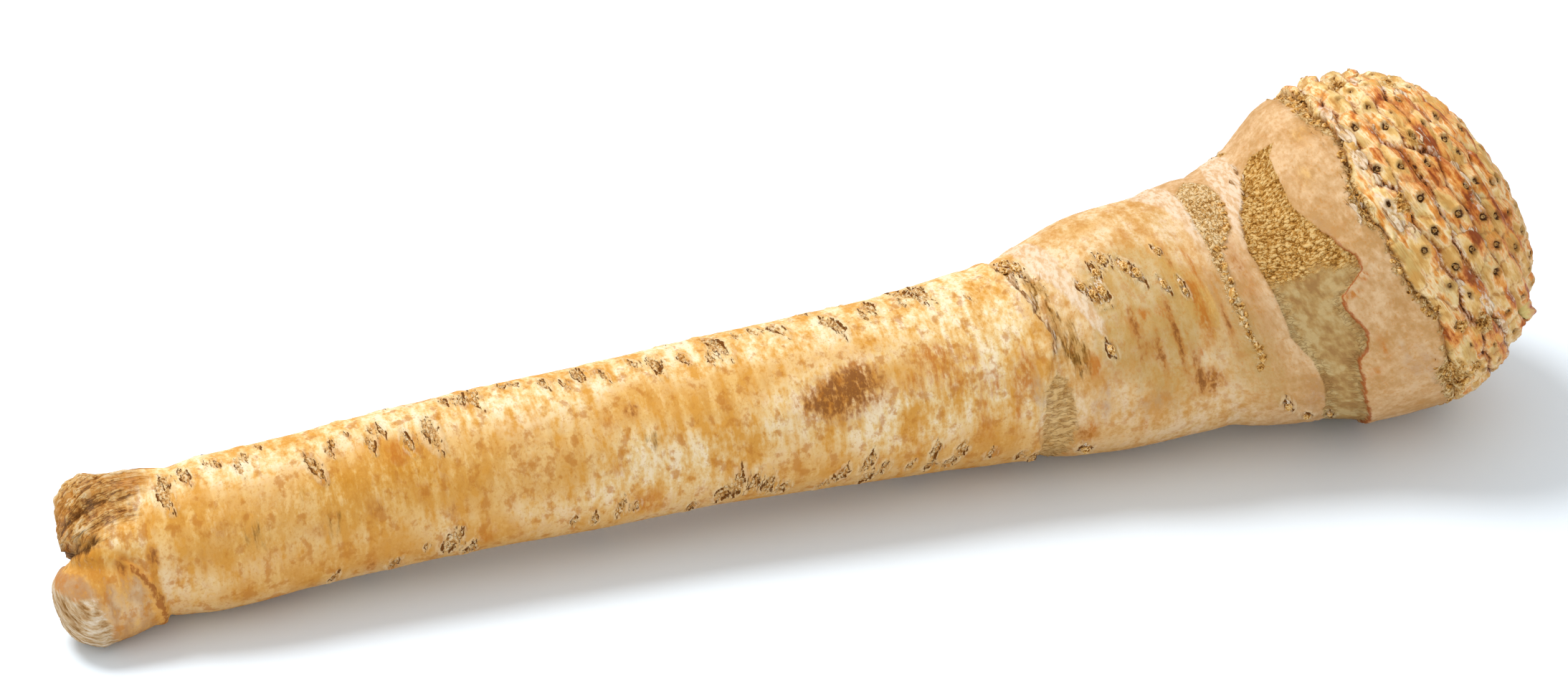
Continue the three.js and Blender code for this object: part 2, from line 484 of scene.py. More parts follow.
shank_skin.height -= FLAP_DIVE * smooth_step(shank_skin.past_flap, 0.1, 0.9)
shank_skin.height += FLAP_SWELL * hump(shank_skin.past_flap + 0.3, 1.6)
flare_skin.height -= FLAP_DIVE * smooth_step(flare_skin.past_flap, -0.2, -2.4)
flare_skin.height -= FLAP_GROOVE * hump(flare_skin.past_flap - 0.4, 2.2)
flare_skin.height -= TRENCH_DIVE * smooth_step(flare_skin.past_trench, -0.9, 0.9)
crown_skin.height -= TRENCH_DIVE * smooth_step(crown_skin.past_trench, 0.9, -0.9)
print("flap and trench laid")

# %% [markdown]
# ## Root scars
# Thin side roots grew from the shank in two rows, one above and one below, and left scars: a lens of
# cork with a dark crack down each side, drawn out into tails round the girth. Each scar here is a
# place on the map and half its width. The cracks are thinner than the mesh, so the points near a scar
# only store where they lie in it, across and down. The material then draws the cracks from these two
# numbers. A few more scars, seeded, cover the sides that the two rows don't reach.

# %% Places of the root scars
UPPER_SCARS = [
    # along, turn, half the width in mm
    (21, 108, 1.7), (22, 92, 1.0), (25.5, 94, 1.3), (30, 86, 0.7), (32, 91, 0.8), (37, 91, 0.9),
    (35.5, 103, 0.9), (40, 81, 0.8), (48.5, 119, 1.3), (52, 109, 0.8), (53, 101, 0.7), (56, 95, 0.5),
    (59.7, 111, 1.2), (60.5, 97, 0.6), (62.5, 101, 0.8), (66.5, 117, 1.2), (71, 113, 1.7), (75.5, 84, 1.1),
    (78, 86, 0.9), (80.5, 89, 1.4), (81.5, 78, 1.1), (87, 77, 1.0), (89.5, 78, 0.8), (94.5, 86, 1.1),
    (98, 92, 0.7), (101.5, 84, 1.7), (106, 92, 0.9), (112, 84, 1.0), (116, 92, 1.5), (121.5, 92, 1.1),
    (126.5, 101, 1.0), (128.5, 86, 1.9), (133, 80, 0.8), (136.5, 79, 1.2), (141, 84, 1.7), (150.5, 90, 1.4),
    (152, 98, 1.4), (158, 91, 1.0), (160, 82, 1.3), (166, 88, 0.9), (167, 74, 1.7), (170.5, 80, 1.8),
    (169.5, 92, 0.9), (178, 100, 0.5),
]
LOWER_SCARS = [
    # along, turn, half the width in mm
    (49, 219, 0.9), (60.5, 219, 1.3), (66.5, 204, 0.6), (71, 206, 1.9), (73, 199, 0.8), (75, 220, 1.4),
    (94.5, 207, 0.9), (98.5, 208, 0.9), (103.5, 202, 1.1), (106.5, 203, 0.9), (117.5, 220, 1.2),
    (123.5, 207, 1.7), (126.5, 199, 1.5), (129.5, 200, 1.2), (132.5, 206, 1.6), (135.5, 213, 1.5),
    (144, 218, 1.2), (147, 206, 1.2), (152, 199, 1.3), (155.5, 207, 1.2), (152.5, 219, 1.3),
    (161, 211, 1.0), (165.5, 199, 1.1), (165, 216, 1.2), (171, 202, 1.4), (169, 216, 1.5),
    (177, 213, 1.2), (187, 222, 1.6), (183.5, 220, 1.1),
]
UPPER_LEAN = 12  # degrees that the upper scars lean off the girth
LOWER_LEAN = -12
HIDDEN_SCARS = 34
HIDDEN_ROWS = (252, 290, 325, 20, 50)  # turns of the rows that they lie in
MOST_LEAN = 14  # degrees that a hidden scar leans at most
LENS_SHAPE = 2.1  # half the length of a scar's lens, in half widths
LENS_WIDTH = 0.66  # share of the half width that the cork fills, between the cracks
CRACK_REACH = 1.6  # how far its cracks run, in half lengths of the lens
print(len(UPPER_SCARS), "scars above,", len(LOWER_SCARS), "below and", HIDDEN_SCARS, "on the other sides")

# %% Root scars on the shank
dice = random.Random(11)


def near(skin, along, turn, span):
    """The points of a skin within a span of a place, with their offsets from it in mm."""
    forward = skin.along - along
    around = skin.arc(turn)
    close = np.flatnonzero((np.abs(forward) < span) & (np.abs(around) < span * 1.6))
    return close, forward[close], around[close]


def root_scar(skin, along, turn, half, lean, raised=0.0):
    """Gives the points round a scar its own two coordinates. raised is in mm, for a knot."""
    lean = math.radians(lean + dice.uniform(-8, 8))
    length = half * LENS_SHAPE * dice.uniform(0.8, 1.25)
    close, forward, around = near(skin, along, turn, 4 + 2.5 * half)
    if not len(close):
        return
    down = (around * math.cos(lean) + forward * math.sin(lean)) / length
    across = (forward * math.cos(lean) - around * math.sin(lean)) / half + 0.2 * skin.wobble[close]
    past_side = LENS_WIDTH * np.maximum(0, 1 - down**2) - np.abs(across)
    inside = half * np.minimum(past_side, 2 * (1 - np.abs(down)))
    rim = (0.12 + 0.1 * half) * hump(inside + 0.3, 0.5)
    skin.height[close] += rim + raised * smooth_step(inside, -0.5, 0.6)
    skin.height[close] += smooth_step(inside, -0.3, 0.3) * (0.35 * skin.tremble[close] - 0.12)
    skin.height[close] -= 0.3 * hump(inside, 0.22) * (np.abs(down) < CRACK_REACH)
    apart = np.hypot(across, down)
    nearer = apart < skin.nearest[close]
    close = close[nearer]
    skin.nearest[close] = apart[nearer]
    skin.marks["across"][close] = across[nearer]
    skin.marks["down"][close] = down[nearer]
    skin.marks["apart"][close] = apart[nearer]
    skin.marks["knot"][close] = 1.0 if raised else 0.0


for skin in skins.values():
    skin.wobble = skin.grain((1.6, 2.2), 5)
    skin.tremble = skin.grain((0.8, 0.9), 6)
for row, lean in ((UPPER_SCARS, UPPER_LEAN), (LOWER_SCARS, LOWER_LEAN)):
    for scar in row:
        root_scar(shank_skin, *scar, lean)
for _ in range(HIDDEN_SCARS):
    row = dice.choice(HIDDEN_ROWS)
    place = (dice.uniform(24, 180), row + dice.uniform(-12, 12), dice.uniform(0.6, 1.6))
    root_scar(shank_skin, *place, dice.uniform(-MOST_LEAN, MOST_LEAN))
print("points in a scar:", int((shank_skin.nearest < 1).sum()))

# %% [markdown]
# ## Stains
# Under the thin skin of a root lie clouds of gold, orange, brown and olive where it has bruised and
# dried. Each stain is a soft oval on the map: its place, its half lengths along and round the root,
# and a strength. The material breaks the ovals up with noise, so only their place matters here. On
# the far side, clouds of noise take the ovals' place.

# %% Places of the stains
STAINS = {
    # along, turn, half length along, half length round, strength
    "green": [
        (207, 136, 7, 10, 1.1), (214, 128, 6, 7, 0.9), (204, 124, 5, 6, 0.8), (216, 146, 5, 8, 0.9),
        (206, 156, 8, 8, 0.8), (212, 176, 8, 10, 0.7), (228, 160, 6, 14, 0.6), (230, 190, 8, 12, 0.5),
    ],
    "rosy": [
        # The first four lie on the lower stump's underside and are partly painted shade; the rest are
        # pinkish skin.
        (6, 200, 6, 8, 1.0), (10, 225, 8, 10, 1.0), (12, 190, 3, 5, 0.7), (4, 240, 8, 12, 0.9),
        (208, 190, 6, 6, 0.6), (198, 180, 3, 8, 0.6), (256, 190, 5, 12, 0.5), (226, 140, 4, 14, 0.5),
        (255, 132, 3, 8, 0.4), (240, 200, 6, 10, 0.5), (186, 168, 2, 6, 0.7),
    ],
    "gold": [
        (30, 152, 14, 9, 0.9), (52, 140, 12, 7, 0.9), (70, 145, 16, 8, 1.0), (96, 146, 14, 8, 0.4),
        (64, 124, 5, 3, 0.9), (120, 128, 18, 5, 0.6), (128, 145, 12, 7, 0.4), (24, 130, 6, 3, 0.8),
        (5, 156, 4, 2.4, 1.6), (9, 162, 3, 2, 1.4), (7, 172, 1.6, 4, 1.1), (11, 176, 2, 4, 0.8),
        (45, 196, 12, 5, 0.6), (62, 200, 6, 5, 0.6), (90, 168, 10, 6, 0.5), (110, 118, 6, 4, 0.6),
        (78, 198, 4, 5, 0.8), (140, 190, 14, 6, 0.6), (160, 142, 10, 5, 0.6), (176, 196, 8, 7, 0.6),
        (150, 120, 16, 3, 0.5), (206, 86, 8, 4, 0.5), (218, 120, 2, 8, 0.8), (222, 150, 3, 8, 1.1),
        (210, 150, 8, 3, 0.5), (264, 100, 4, 6, 0.5), (258, 112, 3, 5, 0.4), (186, 150, 6, 8, 0.4),
    ],
    "orange": [
        (64, 120, 2.4, 2.4, 0.8), (64, 128, 2.6, 2, 0.6), (78, 205, 2.2, 4, 0.9), (109, 203, 4, 4, 1.0),
        (67, 156, 1.6, 2.4, 0.8), (104, 168, 1.6, 2.4, 0.8), (104, 136, 2.4, 2.4, 0.6),
        (56, 212, 1.4, 5, 0.8), (223.6, 128, 0.8, 7, 0.9), (127, 188, 1.6, 2, 0.8),
        (162, 150, 3, 3, 0.7), (168, 145, 3, 4, 0.9), (174, 142, 2.4, 3, 0.9), (166, 133, 4, 2, 0.8),
        (178, 160, 2, 2.5, 0.9), (171, 156, 2, 2, 0.7), (184, 160, 2, 3, 1.1), (175, 170, 1.2, 5, 0.7),
        (182, 182, 0.8, 10, 0.8), (185, 148, 2, 3, 0.6), (162, 190, 1, 7, 0.6), (176, 192, 2.2, 4, 0.6),
        (197.5, 163, 1.6, 2.4, 1.2), (204, 145, 1, 2, 0.8), (209, 145, 1.6, 1.6, 1.0),
        (213, 146, 1.4, 2, 1.0),
        (221, 148, 1.6, 8, 1.3), (218, 168, 1, 2, 0.8), (196, 203, 2, 4, 0.9), (206, 208, 0.8, 5, 0.7),
        (256, 150, 1.2, 1.2, 1.3), (252.5, 154, 2.2, 0.8, 1.3), (249.5, 156, 1, 1.6, 1.0),
        (252.5, 176, 0.8, 4, 0.8), (249.5, 186, 1.8, 1.2, 0.8), (262, 183, 1.2, 4, 0.8),
    ],
    "brown": [
        (149.5, 146, 7.5, 4, 1.3), (144, 151, 6, 3, 0.7), (152, 138, 3, 3, 0.7), (148, 162, 5, 3, 0.4),
        (108.5, 129, 1.5, 1.6, 1.3), (17, 160, 1.2, 2.2, 1.2), (58, 162, 2, 2.4, 0.7), (72, 176, 2, 2, 0.6),
        (30, 150, 2.2, 4, 0.5), (71, 150, 2, 5, 0.5), (47, 168, 2, 2, 0.6), (26, 170, 2, 3, 0.5),
        (56, 214, 1.5, 3, 0.7), (126.5, 139, 1, 1.4, 0.7), (208, 162, 4, 4, 0.6), (201, 172, 3, 4, 0.3),
        (219, 186, 3, 3, 1.4), (217, 175, 1, 5, 0.9), (214.6, 158, 0.7, 8, 1.5), (195, 206, 2, 4, 0.8),
        (206.6, 146, 0.8, 4, 1.0), (225.6, 158, 0.8, 9, 0.9), (210.6, 168, 0.7, 6, 0.8),
        (11.5, 164, 1.5, 2, 1.2),
        (233, 150, 3, 9, 0.45), (234, 128, 3, 5, 0.4), (187, 118, 1.6, 5, 0.5), (219, 122, 0.8, 4, 0.8),
    ],
    "olive": [
        (36, 158, 4, 5, 0.45), (50, 166, 3, 6, 0.4), (111, 154, 1.8, 2.4, 0.7), (45, 140, 3, 3, 0.3),
        (190.6, 114, 0.9, 6, 1.1), (192.2, 119, 0.7, 5, 0.8), (192.6, 135, 1, 6, 0.8),
        (194.8, 144, 1, 6, 0.7), (195.3, 161, 1.1, 3, 1.0), (190.5, 104, 0.9, 3, 1.0),
        (196.5, 150, 0.7, 5, 0.6), (193.4, 153, 0.8, 3, 0.9),
    ],
    "pale": [
        (10, 186, 3, 5, 0.5), (8, 205, 4, 4, 0.4), (13, 205, 2, 6, 0.5), (20, 182, 5, 6, 0.7),
        (36, 184, 8, 5, 0.6), (45, 118, 6, 4, 0.5), (56, 110, 4, 5, 0.6),
        (88, 122, 8, 5, 0.6), (84, 190, 4, 8, 0.5), (92, 180, 3, 6, 0.3), (70, 122, 1.2, 3, 0.6),
        (138, 165, 4, 7, 0.5), (116, 150, 8, 8, 0.3), (112, 168, 6, 4, 0.3), (182, 172, 3, 6, 0.6),
        (158, 147, 1, 1.2, 0.9), (170, 157, 1, 1.2, 0.9), (176, 155, 0.9, 1, 0.9), (150, 104, 14, 3, 0.5),
        (204, 170, 6, 8, 0.5), (213, 128, 6, 6, 0.7), (206, 135, 4, 4, 0.6), (211, 168, 2, 4, 0.6),
        (219, 173, 1.4, 3, 0.8), (207, 100, 6, 6, 0.5), (226, 200, 5, 10, 0.4), (256, 175, 4, 8, 0.3),
    ],
}
HIDDEN_CLOUDS = {"gold": 1.3, "orange": 1.3, "brown": 0.9, "olive": 0.9, "pale": 1.3}
OVALS_TURN = 140  # the middle of the side that the ovals cover; clouds cover the rest
print({name: len(ovals) for name, ovals in STAINS.items()})

# %% Stains on the shank and flare
def from_oval(skin, along, turn, half_along, half_round):
    """How far every point is from the middle of an oval: 1 is on its edge."""
    return np.hypot((skin.along - along) / half_along, skin.arc(turn) / half_round)


def stain(skin, name, *place, strength):
    """A soft oval of colour. Its size is in millimetres and its strength about 0 to 1.5."""
    skin.add(name, strength * np.exp(-(from_oval(skin, *place) ** 2)))


for name, ovals in STAINS.items():
    for skin in (shank_skin, flare_skin):
        for *place, strength in ovals:
            stain(skin, name, *place, strength=strength)
for name, strength in HIDDEN_CLOUDS.items():
    for skin in (shank_skin, flare_skin):
        hidden = smooth_step(np.abs(turned(skin.turn, OVALS_TURN)), 100, 120)
        cloud = skin.grain((9, 6), 20 + len(name))
        skin.add(name, hidden * np.maximum(0, cloud * strength - 0.1))
for skin in (shank_skin, flare_skin):
    below = round_step(skin.turn, 180, 210, 290, 330)
    skin.add("gold", 0.5 * below * smooth_step(skin.along, 230, 190))
    skin.add("calm", smooth_step(skin.along, 184, 196) * (0.5 + 0.45 * smooth_step(skin.along, 221, 233)))
# Painted shade: the underside, full from turn 215 to 300 and fading out towards 130 and 350, is laid darker
# and browner.
for skin in skins.values():
    skin.add("tan", round_step(skin.turn, 130, 215, 300, 350))
print(sum(len(ovals) for ovals in STAINS.values()), "stains laid")

# %% [markdown]
# ## The tail
# At the tail two side roots were cut off. The upper stump is wrapped in corky bark, and the lower one
# ends in a dry, whitish face. A brown fold separates the two, and a ridge of healed skin rings the
# lower one. The stumps' axes are the solid's own, so distances to them place all of this.

# %% Stumps, fold and ridge
STUMPS = {
    # name: (start of the axis, its end, radius at the end), in map millimetres
    "upper": ((25, 1.5, 17.2), (7.0, 4.5, 19.9), 8.1),
    "lower": ((20, -3.2, 12.8), (5.2, -5.8, 8.25), 8.6),
}
RIDGE = [
    # turn, along
    (140, 6), (150, 9), (158, 11.2), (165, 13), (175, 14.5), (185, 16), (195, 17), (210, 17.7), (300, 18),
]
RIDGE_TURNS = (150, 168, 285, 300)  # where the ridge starts, is full, thins and ends
RIDGE_HEIGHT = 0.7
CLEFT_HEIGHT = 12.5  # the lower stump's dry face lies below this height
BARK_LENGTH = 10
FOLD_DEPTH = 1.5


def past_end(skin, stump):
    """How far points lie past the end of a stump's axis, and outside its side, in mm."""
    start, end, radius = STUMPS[stump]
    start, end = np.array(start) + MAP_START, np.array(end) + MAP_START
    axis = (end - start) / np.linalg.norm(end - start)
    away_from_end = skin.points - end
    past = away_from_end @ axis
    return past, np.linalg.norm(away_from_end - past[:, None] * axis, axis=1) - radius


upper_past, upper_side = past_end(shank_skin, "upper")
lower_past, lower_side = past_end(shank_skin, "lower")
rough = shank_skin.grain((1.4, 1.4), 31, octaves=3)
is_upper = upper_side < lower_side
end_edge = 0.9 * shank_skin.grain((5, 5), 32)
in_face = np.minimum(lower_past + 0.6, CLEFT_HEIGHT - shank_skin.points[:, 2])
shank_skin.include("dry_end", np.where(is_upper, -3.0, in_face) + end_edge)
bark = np.minimum(upper_past + BARK_LENGTH, 1.5 * (lower_side - upper_side) - 2.5)
shank_skin.include("bark", bark + 2 * end_edge)
fold = 1.0 - 0.4 * np.abs(upper_side - lower_side) - 0.3 * np.maximum(0, shank_skin.along - 5.5)
shank_skin.include("fold", fold + 0.4 * rough)
ridge_size = np.interp(shank_skin.turn, RIDGE_TURNS, (0, 1, 1, 0))
past_ridge = shank_skin.along - round_line(RIDGE, shank_skin.turn) + 0.4 * rough
shank_skin.include("ridge", 0.45 - np.abs(past_ridge) - 2 * (1 - ridge_size))
print("tail: bark, fold, ridge and one dry face marked")

# %% [markdown]
# ## Fibres of the tail
# Dry wood shows which way its fibres run. On the upper stump they swirl round it, and on a cut face
# they run across it, tilted. A second set of straightened places, turned along the fibres, makes any
# noise follow them, here in the relief and later in the material.

# %% Which way the fibres run
around_stump = shank_skin.arc(120)
swirl = around_stump + 0.9 * shank_skin.along - 0.03 * shank_skin.along**2
lengthwise = shank_skin.along - 0.9 * around_stump
_, side, rise = shank_skin.points.T
bark_way = np.stack([lengthwise, swirl, 0.2 * shank_skin.reach], axis=1)
end_way = np.stack([-0.8 * side - 0.6 * rise, 0.6 * side - 0.8 * rise, 0.3 * shank_skin.along], axis=1)
shank_skin.fibre_way = np.where(is_upper[:, None], bark_way, end_way)
layers = shank_skin.grain((16, 3.2), 33, way="fibre_way")
streaks = shank_skin.grain((7, 1.1), 34, octaves=3, way="fibre_way")
deep_in_bark = smooth_step(shank_skin.marks["bark"], 0, 3)
deep_in_end = smooth_step(shank_skin.marks["dry_end"], -0.3, 0.8)
crumbly = smooth_step(upper_past, -6, 0) * deep_in_bark
shank_skin.height += deep_in_bark * (0.9 * layers + 0.4 * streaks) + crumbly * 0.4 * rough
shank_skin.height += deep_in_end * (0.45 * streaks - 0.15)
# The relief mark repeats the bark's and dry face's height, so the material can paint low places darker:
# painted shade.
shank_skin.add("relief", (deep_in_bark + deep_in_end) * (0.5 * layers + 0.7 * streaks) + crumbly * rough)
shank_skin.height -= FOLD_DEPTH * smooth_step(shank_skin.marks["fold"], -0.3, 1.0)
shank_skin.height += RIDGE_HEIGHT * ridge_size * hump(past_ridge, 0.9)
shank_skin.height -= 0.5 * RIDGE_HEIGHT * ridge_size * hump(past_ridge - 1.5, 0.8)
print("tail: deepest", shank_skin.height.min().round(1), "mm")

# %% [markdown]
# ## Papers and crusts of the neck and flare
# The flare is the oldest part, and its skin has come off in rings. What stays are three kinds of
# ground: thin white paper that lifts at its edges, golden crust in short sharp wrinkles, and a bare
# band that is greenish and finely creased. Each region is a list of places round the root with its
# left and right edge; where right is less than left there is nothing.

# %% Regions of the flare
REGIONS = {
    # turn, left edge, right edge
    "paper": [
        # by the neck
        [(20, 193, 192), (60, 191, 194.5), (78, 192, 196.5), (95, 191.8, 197), (105, 193.2, 197.6),
         (120, 195.5, 199), (133, 197.3, 200.3), (145, 199.2, 201), (150, 200.3, 200.6), (156, 202, 200),
         (310, 202, 200)],
        # before the narrow crust
        [(0, 227, 226), (40, 222, 227), (70, 221.5, 230), (85, 224.5, 230.4), (95, 226.2, 230),
         (105, 227, 229.4), (120, 227.2, 229), (135, 228, 228.6), (140, 228.5, 228.1), (300, 229, 228)],
        # before the bare band
        [(0, 247, 246), (60, 243, 249), (80, 240.6, 249.5), (88, 240.3, 248.5), (97, 240.4, 246),
         (103, 239.3, 244), (108, 238.2, 241.6), (115, 237.2, 239.6), (122, 236.6, 238.1),
         (130, 236.5, 237.6), (145, 236.9, 237.7), (165, 236.6, 237.2), (186, 237.4, 237.9),
         (205, 236, 237.6), (230, 236, 237.4), (300, 247, 246)],
        # both sides of the ochre bed
        [(160, 188, 187), (170, 186, 188), (190, 184.9, 187), (206, 185.6, 187.6), (225, 187, 188),
         (240, 188, 187)],
        [(168, 193, 192), (175, 191.8, 193.4), (186, 193, 194.2), (192, 194, 193)],
    ],
    "crumb": [
        [(70, 236, 235), (82, 230.6, 239.6), (95, 230.2, 240.2), (105, 229.4, 238.4), (115, 229, 237.2),
         (120, 229, 233.6), (125, 228.8, 231.4), (135, 228.4, 230.5), (145, 228, 229.9),
         (160, 228, 229.5), (175, 229, 230.5), (182, 228, 229.2), (187, 229.5, 228), (300, 229.5, 228)],
    ],
    "bare": [
        [(20, 246, 250), (60, 249, 250), (84, 253, 252), (91, 248, 258), (94, 246.6, 255.6),
         (100, 245, 254.4), (105, 243, 254), (109, 241, 253.4), (115, 239.5, 252.6), (120, 238.4, 252.6),
         (128, 237.6, 254), (137, 237.6, 255.4), (143, 237.6, 256.6), (148, 237.6, 256.4),
         (153, 237.5, 250.6), (158, 237.2, 250), (168, 237, 251.3), (174, 238, 250), (180, 239.2, 247.5),
         (190, 239.6, 246.6), (200, 239.5, 246), (215, 238.8, 246), (240, 239, 246), (320, 243, 248)],
    ],
    "bed": [
        [(160, 191, 190), (168, 188, 192.2), (180, 187.2, 193), (197, 187, 193.4), (212, 187.6, 193.4),
         (230, 188, 193), (250, 189, 192), (270, 191, 190)],
    ],
}
CRUST_END = [(238, 145), (245, 143), (250, 141), (252, 144), (256, 148)]  # along, turn
LIP_HEIGHT = 0.5


def edge_of(rows, side):
    """The left edge, side 1, or right edge, side 2, of a region, as a round line."""
    return [(row[0], row[side]) for row in rows]


def region(skin, rows, seed, ragged=0.35):
    """How far inside a region each point lies, in mm, with a ragged edge."""
    left = round_line(edge_of(rows, 1), skin.turn)
    right = round_line(edge_of(rows, 2), skin.turn)
    edge = ragged * skin.grain((2.4, 2.4), seed, octaves=3)
    return np.minimum(skin.along - left, right - skin.along) + edge


all_regions = [(name, rows) for name, regions in REGIONS.items() for rows in regions]
for skin in (flare_skin, shank_skin):
    for seed, (name, rows) in enumerate(all_regions, start=41):
        skin.include(name, region(skin, rows, seed))
print(len(all_regions), "regions on the flare")

# %% Where the crust ends, and the bare band's lip
ends, turns = zip(*CRUST_END)
above_end = np.radians(np.interp(flare_skin.along, ends, turns) - flare_skin.turn) * flare_skin.reach
above_end += 1.2 * flare_skin.grain((3, 2), 60)
above_end[flare_skin.turn > 300] = -1
flare_skin.include("crust", above_end)
right_edge = round_line(edge_of(REGIONS["bare"][0], 2), flare_skin.turn)
lip = hump(flare_skin.along - right_edge, 1.6) * smooth_step(flare_skin.turn, 125, 145)
flare_skin.add("lip", lip)
flare_skin.height += LIP_HEIGHT * lip * smooth_step(flare_skin.marks["bare"], 0.2, -0.2)

# %% Relief of the flare
PAPER_LIFT = 0.2  # all in mm
CRUMB_LIFT = 0.15
CRUMB_SIZE = 0.45
BARE_DEPTH = 0.5
CRUST_LIFT = 0.2
CRUST_SIZE = 0.4
WRINKLE_SIZE = 0.12
BED_DEPTH = 0.25
BED_ROUGHNESS = 0.3
WAVINESS = 0.22
for skin in (flare_skin, shank_skin):
    thin = 0.1 + 0.9 * smooth_step(np.abs(turned(skin.turn, 60)), 75, 40)
    by_neck = hump(skin.past_flap - 8, 6)
    skin.add("white", np.maximum(thin, by_neck * smooth_step(skin.turn, 165, 140)))
in_paper = smooth_step(flare_skin.marks["paper"], -0.15, 0.35)
in_crumb = smooth_step(flare_skin.marks["crumb"], -0.3, 0.5)
in_bare = smooth_step(flare_skin.marks["bare"], -0.1, 0.45)
in_crust = smooth_step(flare_skin.marks["crust"], -0.5, 3.0) * in_bare
in_bed = smooth_step(flare_skin.marks["bed"], -0.2, 0.5)
crease = np.minimum(4 * np.abs(flare_skin.grain((2.4, 1.0), 61)), 1) - 0.5
crumbs = np.minimum(4 * np.abs(flare_skin.grain((1.3, 1.3), 62)), 1) - 0.5
flare_skin.height += PAPER_LIFT * in_paper
flare_skin.height += in_crumb * (CRUMB_LIFT + CRUMB_SIZE * crumbs)
flare_skin.height -= BARE_DEPTH * in_bare
flare_skin.height += in_crust * (CRUST_LIFT + CRUST_SIZE * crease)
# The crumbs' and crust's height is also stored as a mark, which the material paints darker where low:
# painted shade.
flare_skin.add("relief", in_crumb * crumbs + in_crust * crease)
flare_skin.height += (in_bare - in_crust) * WRINKLE_SIZE * flare_skin.grain((3.5, 0.8), 63)
flare_skin.height += in_bed * (-BED_DEPTH + BED_ROUGHNESS * flare_skin.grain((0.8, 2.0), 64, octaves=3))
flare_skin.height += WAVINESS * flare_skin.grain((14, 9), 65)
print("flare: deepest", flare_skin.height.min().round(1), "highest", flare_skin.height.max().round(1), "mm")

# %% [markdown]
# ## Knots of the bulge
# Above the neck a group of leaf roots died back to corky buttons with dark rings and tails. They are
# the shank's scars again, rounder and on the bulge. A crusty knot sits on the neck flap itself.

# %% Knots on the bulge and neck
BULGE_KNOTS = [
    # along, turn, half the width in mm
    (205.4, 112, 1.3), (203, 118, 1.1), (199.2, 122, 1.0), (200.8, 128, 1.2), (202.6, 128, 1.2),
    (209.3, 120, 1.4), (211.2, 125, 1.2), (215.6, 134, 1.0), (217.8, 117, 0.9), (219.2, 136, 0.7),
    (219.4, 140, 0.8), (201, 157, 1.1), (189.6, 88, 1.7), (187.4, 87, 1.5), (188.4, 79, 1.4),
    (232.6, 207, 1.2), (236, 219, 1.3), (196, 221, 1.5), (240, 222, 1.0),
]
BULGE_LEAN = 14
KNOT_HEIGHT = 0.3
HIDDEN_KNOTS = 12
for knot in BULGE_KNOTS:
    for skin in (flare_skin, shank_skin):
        root_scar(skin, *knot, BULGE_LEAN, raised=KNOT_HEIGHT)
for _ in range(HIDDEN_KNOTS):
    place = (dice.uniform(196, 256), dice.uniform(250, 410) % 360, dice.uniform(0.7, 1.5))
    root_scar(flare_skin, *place, dice.uniform(-MOST_LEAN, MOST_LEAN))
print(len(BULGE_KNOTS) + HIDDEN_KNOTS, "knots on the flare")

# %% [markdown]
# ## The crown's leaf scars
# Leaves grew from the crown in rings, and each left a long, smooth scar with the cut end of a vein
# bundle in it. A ring overlaps the next one like a shingle: it swells out of a crevice, leans towards
# the apex and drops into the next crevice. So the crevices come first, as lines round the root. The
# five nearest the collar wander as old ones do, and the rest are worked out. Each bundle then claims
# the stretch of its ring that is nearer to it than to its neighbours.

# %% Crevices
CREVICES = [
    # turn, along
    [(0, 270), (60, 271), (110, 271), (125, 269.4), (135, 269), (142, 270), (152, 270.2), (160, 269.6),
     (172, 269.3), (185, 268), (200, 266.6), (260, 268)],
    [(0, 276), (60, 277), (80, 276.5), (92, 277.4), (110, 277), (120, 276.4), (131, 276), (142, 276.8),
     (152, 275.8), (160, 275), (172, 274.2), (182, 273.6), (195, 274.6), (260, 275)],
    [(0, 281), (60, 282), (80, 281.5), (98, 282.2), (113, 281), (120, 282.4), (131, 284), (141, 282.6),
     (152, 283.2), (165, 282), (178, 281.6), (190, 280.4), (260, 281)],
    [(0, 287), (60, 286), (80, 285.4), (95, 284.8), (108, 285), (120, 285.2), (131, 286.4), (140, 287.8),
     (152, 288), (162, 287), (175, 286), (190, 286.8), (260, 286)],
    [(0, 292), (60, 292), (80, 291.2), (95, 290), (108, 291.2), (120, 290.6), (133, 293.2), (142, 293.4),
     (152, 292.2), (170, 291.4), (190, 292.4), (260, 291)],
]
CREVICE_STEP = 5.1
APEX_CREVICES = 4
LAST_PULL = 292  # the later crevices close in on the even ring that passes here
ring_count = len(CREVICES) + APEX_CREVICES


def crevice(index, turn):
    """Place of a crevice along the root, at each turn."""
    if index < len(CREVICES):
        return round_line(CREVICES[index], turn)
    beyond = index - len(CREVICES) + 1
    line = round_line(CREVICES[-1], turn) / (1 + beyond) + LAST_PULL * beyond / (1 + beyond)
    sway = 0.5 * np.sin(np.radians(turn) * (3 + beyond % 2) + 2 * beyond)
    return line + beyond * CREVICE_STEP + sway


print("crevices at the top:", [round(float(crevice(index, 90)), 1) for index in range(ring_count)])

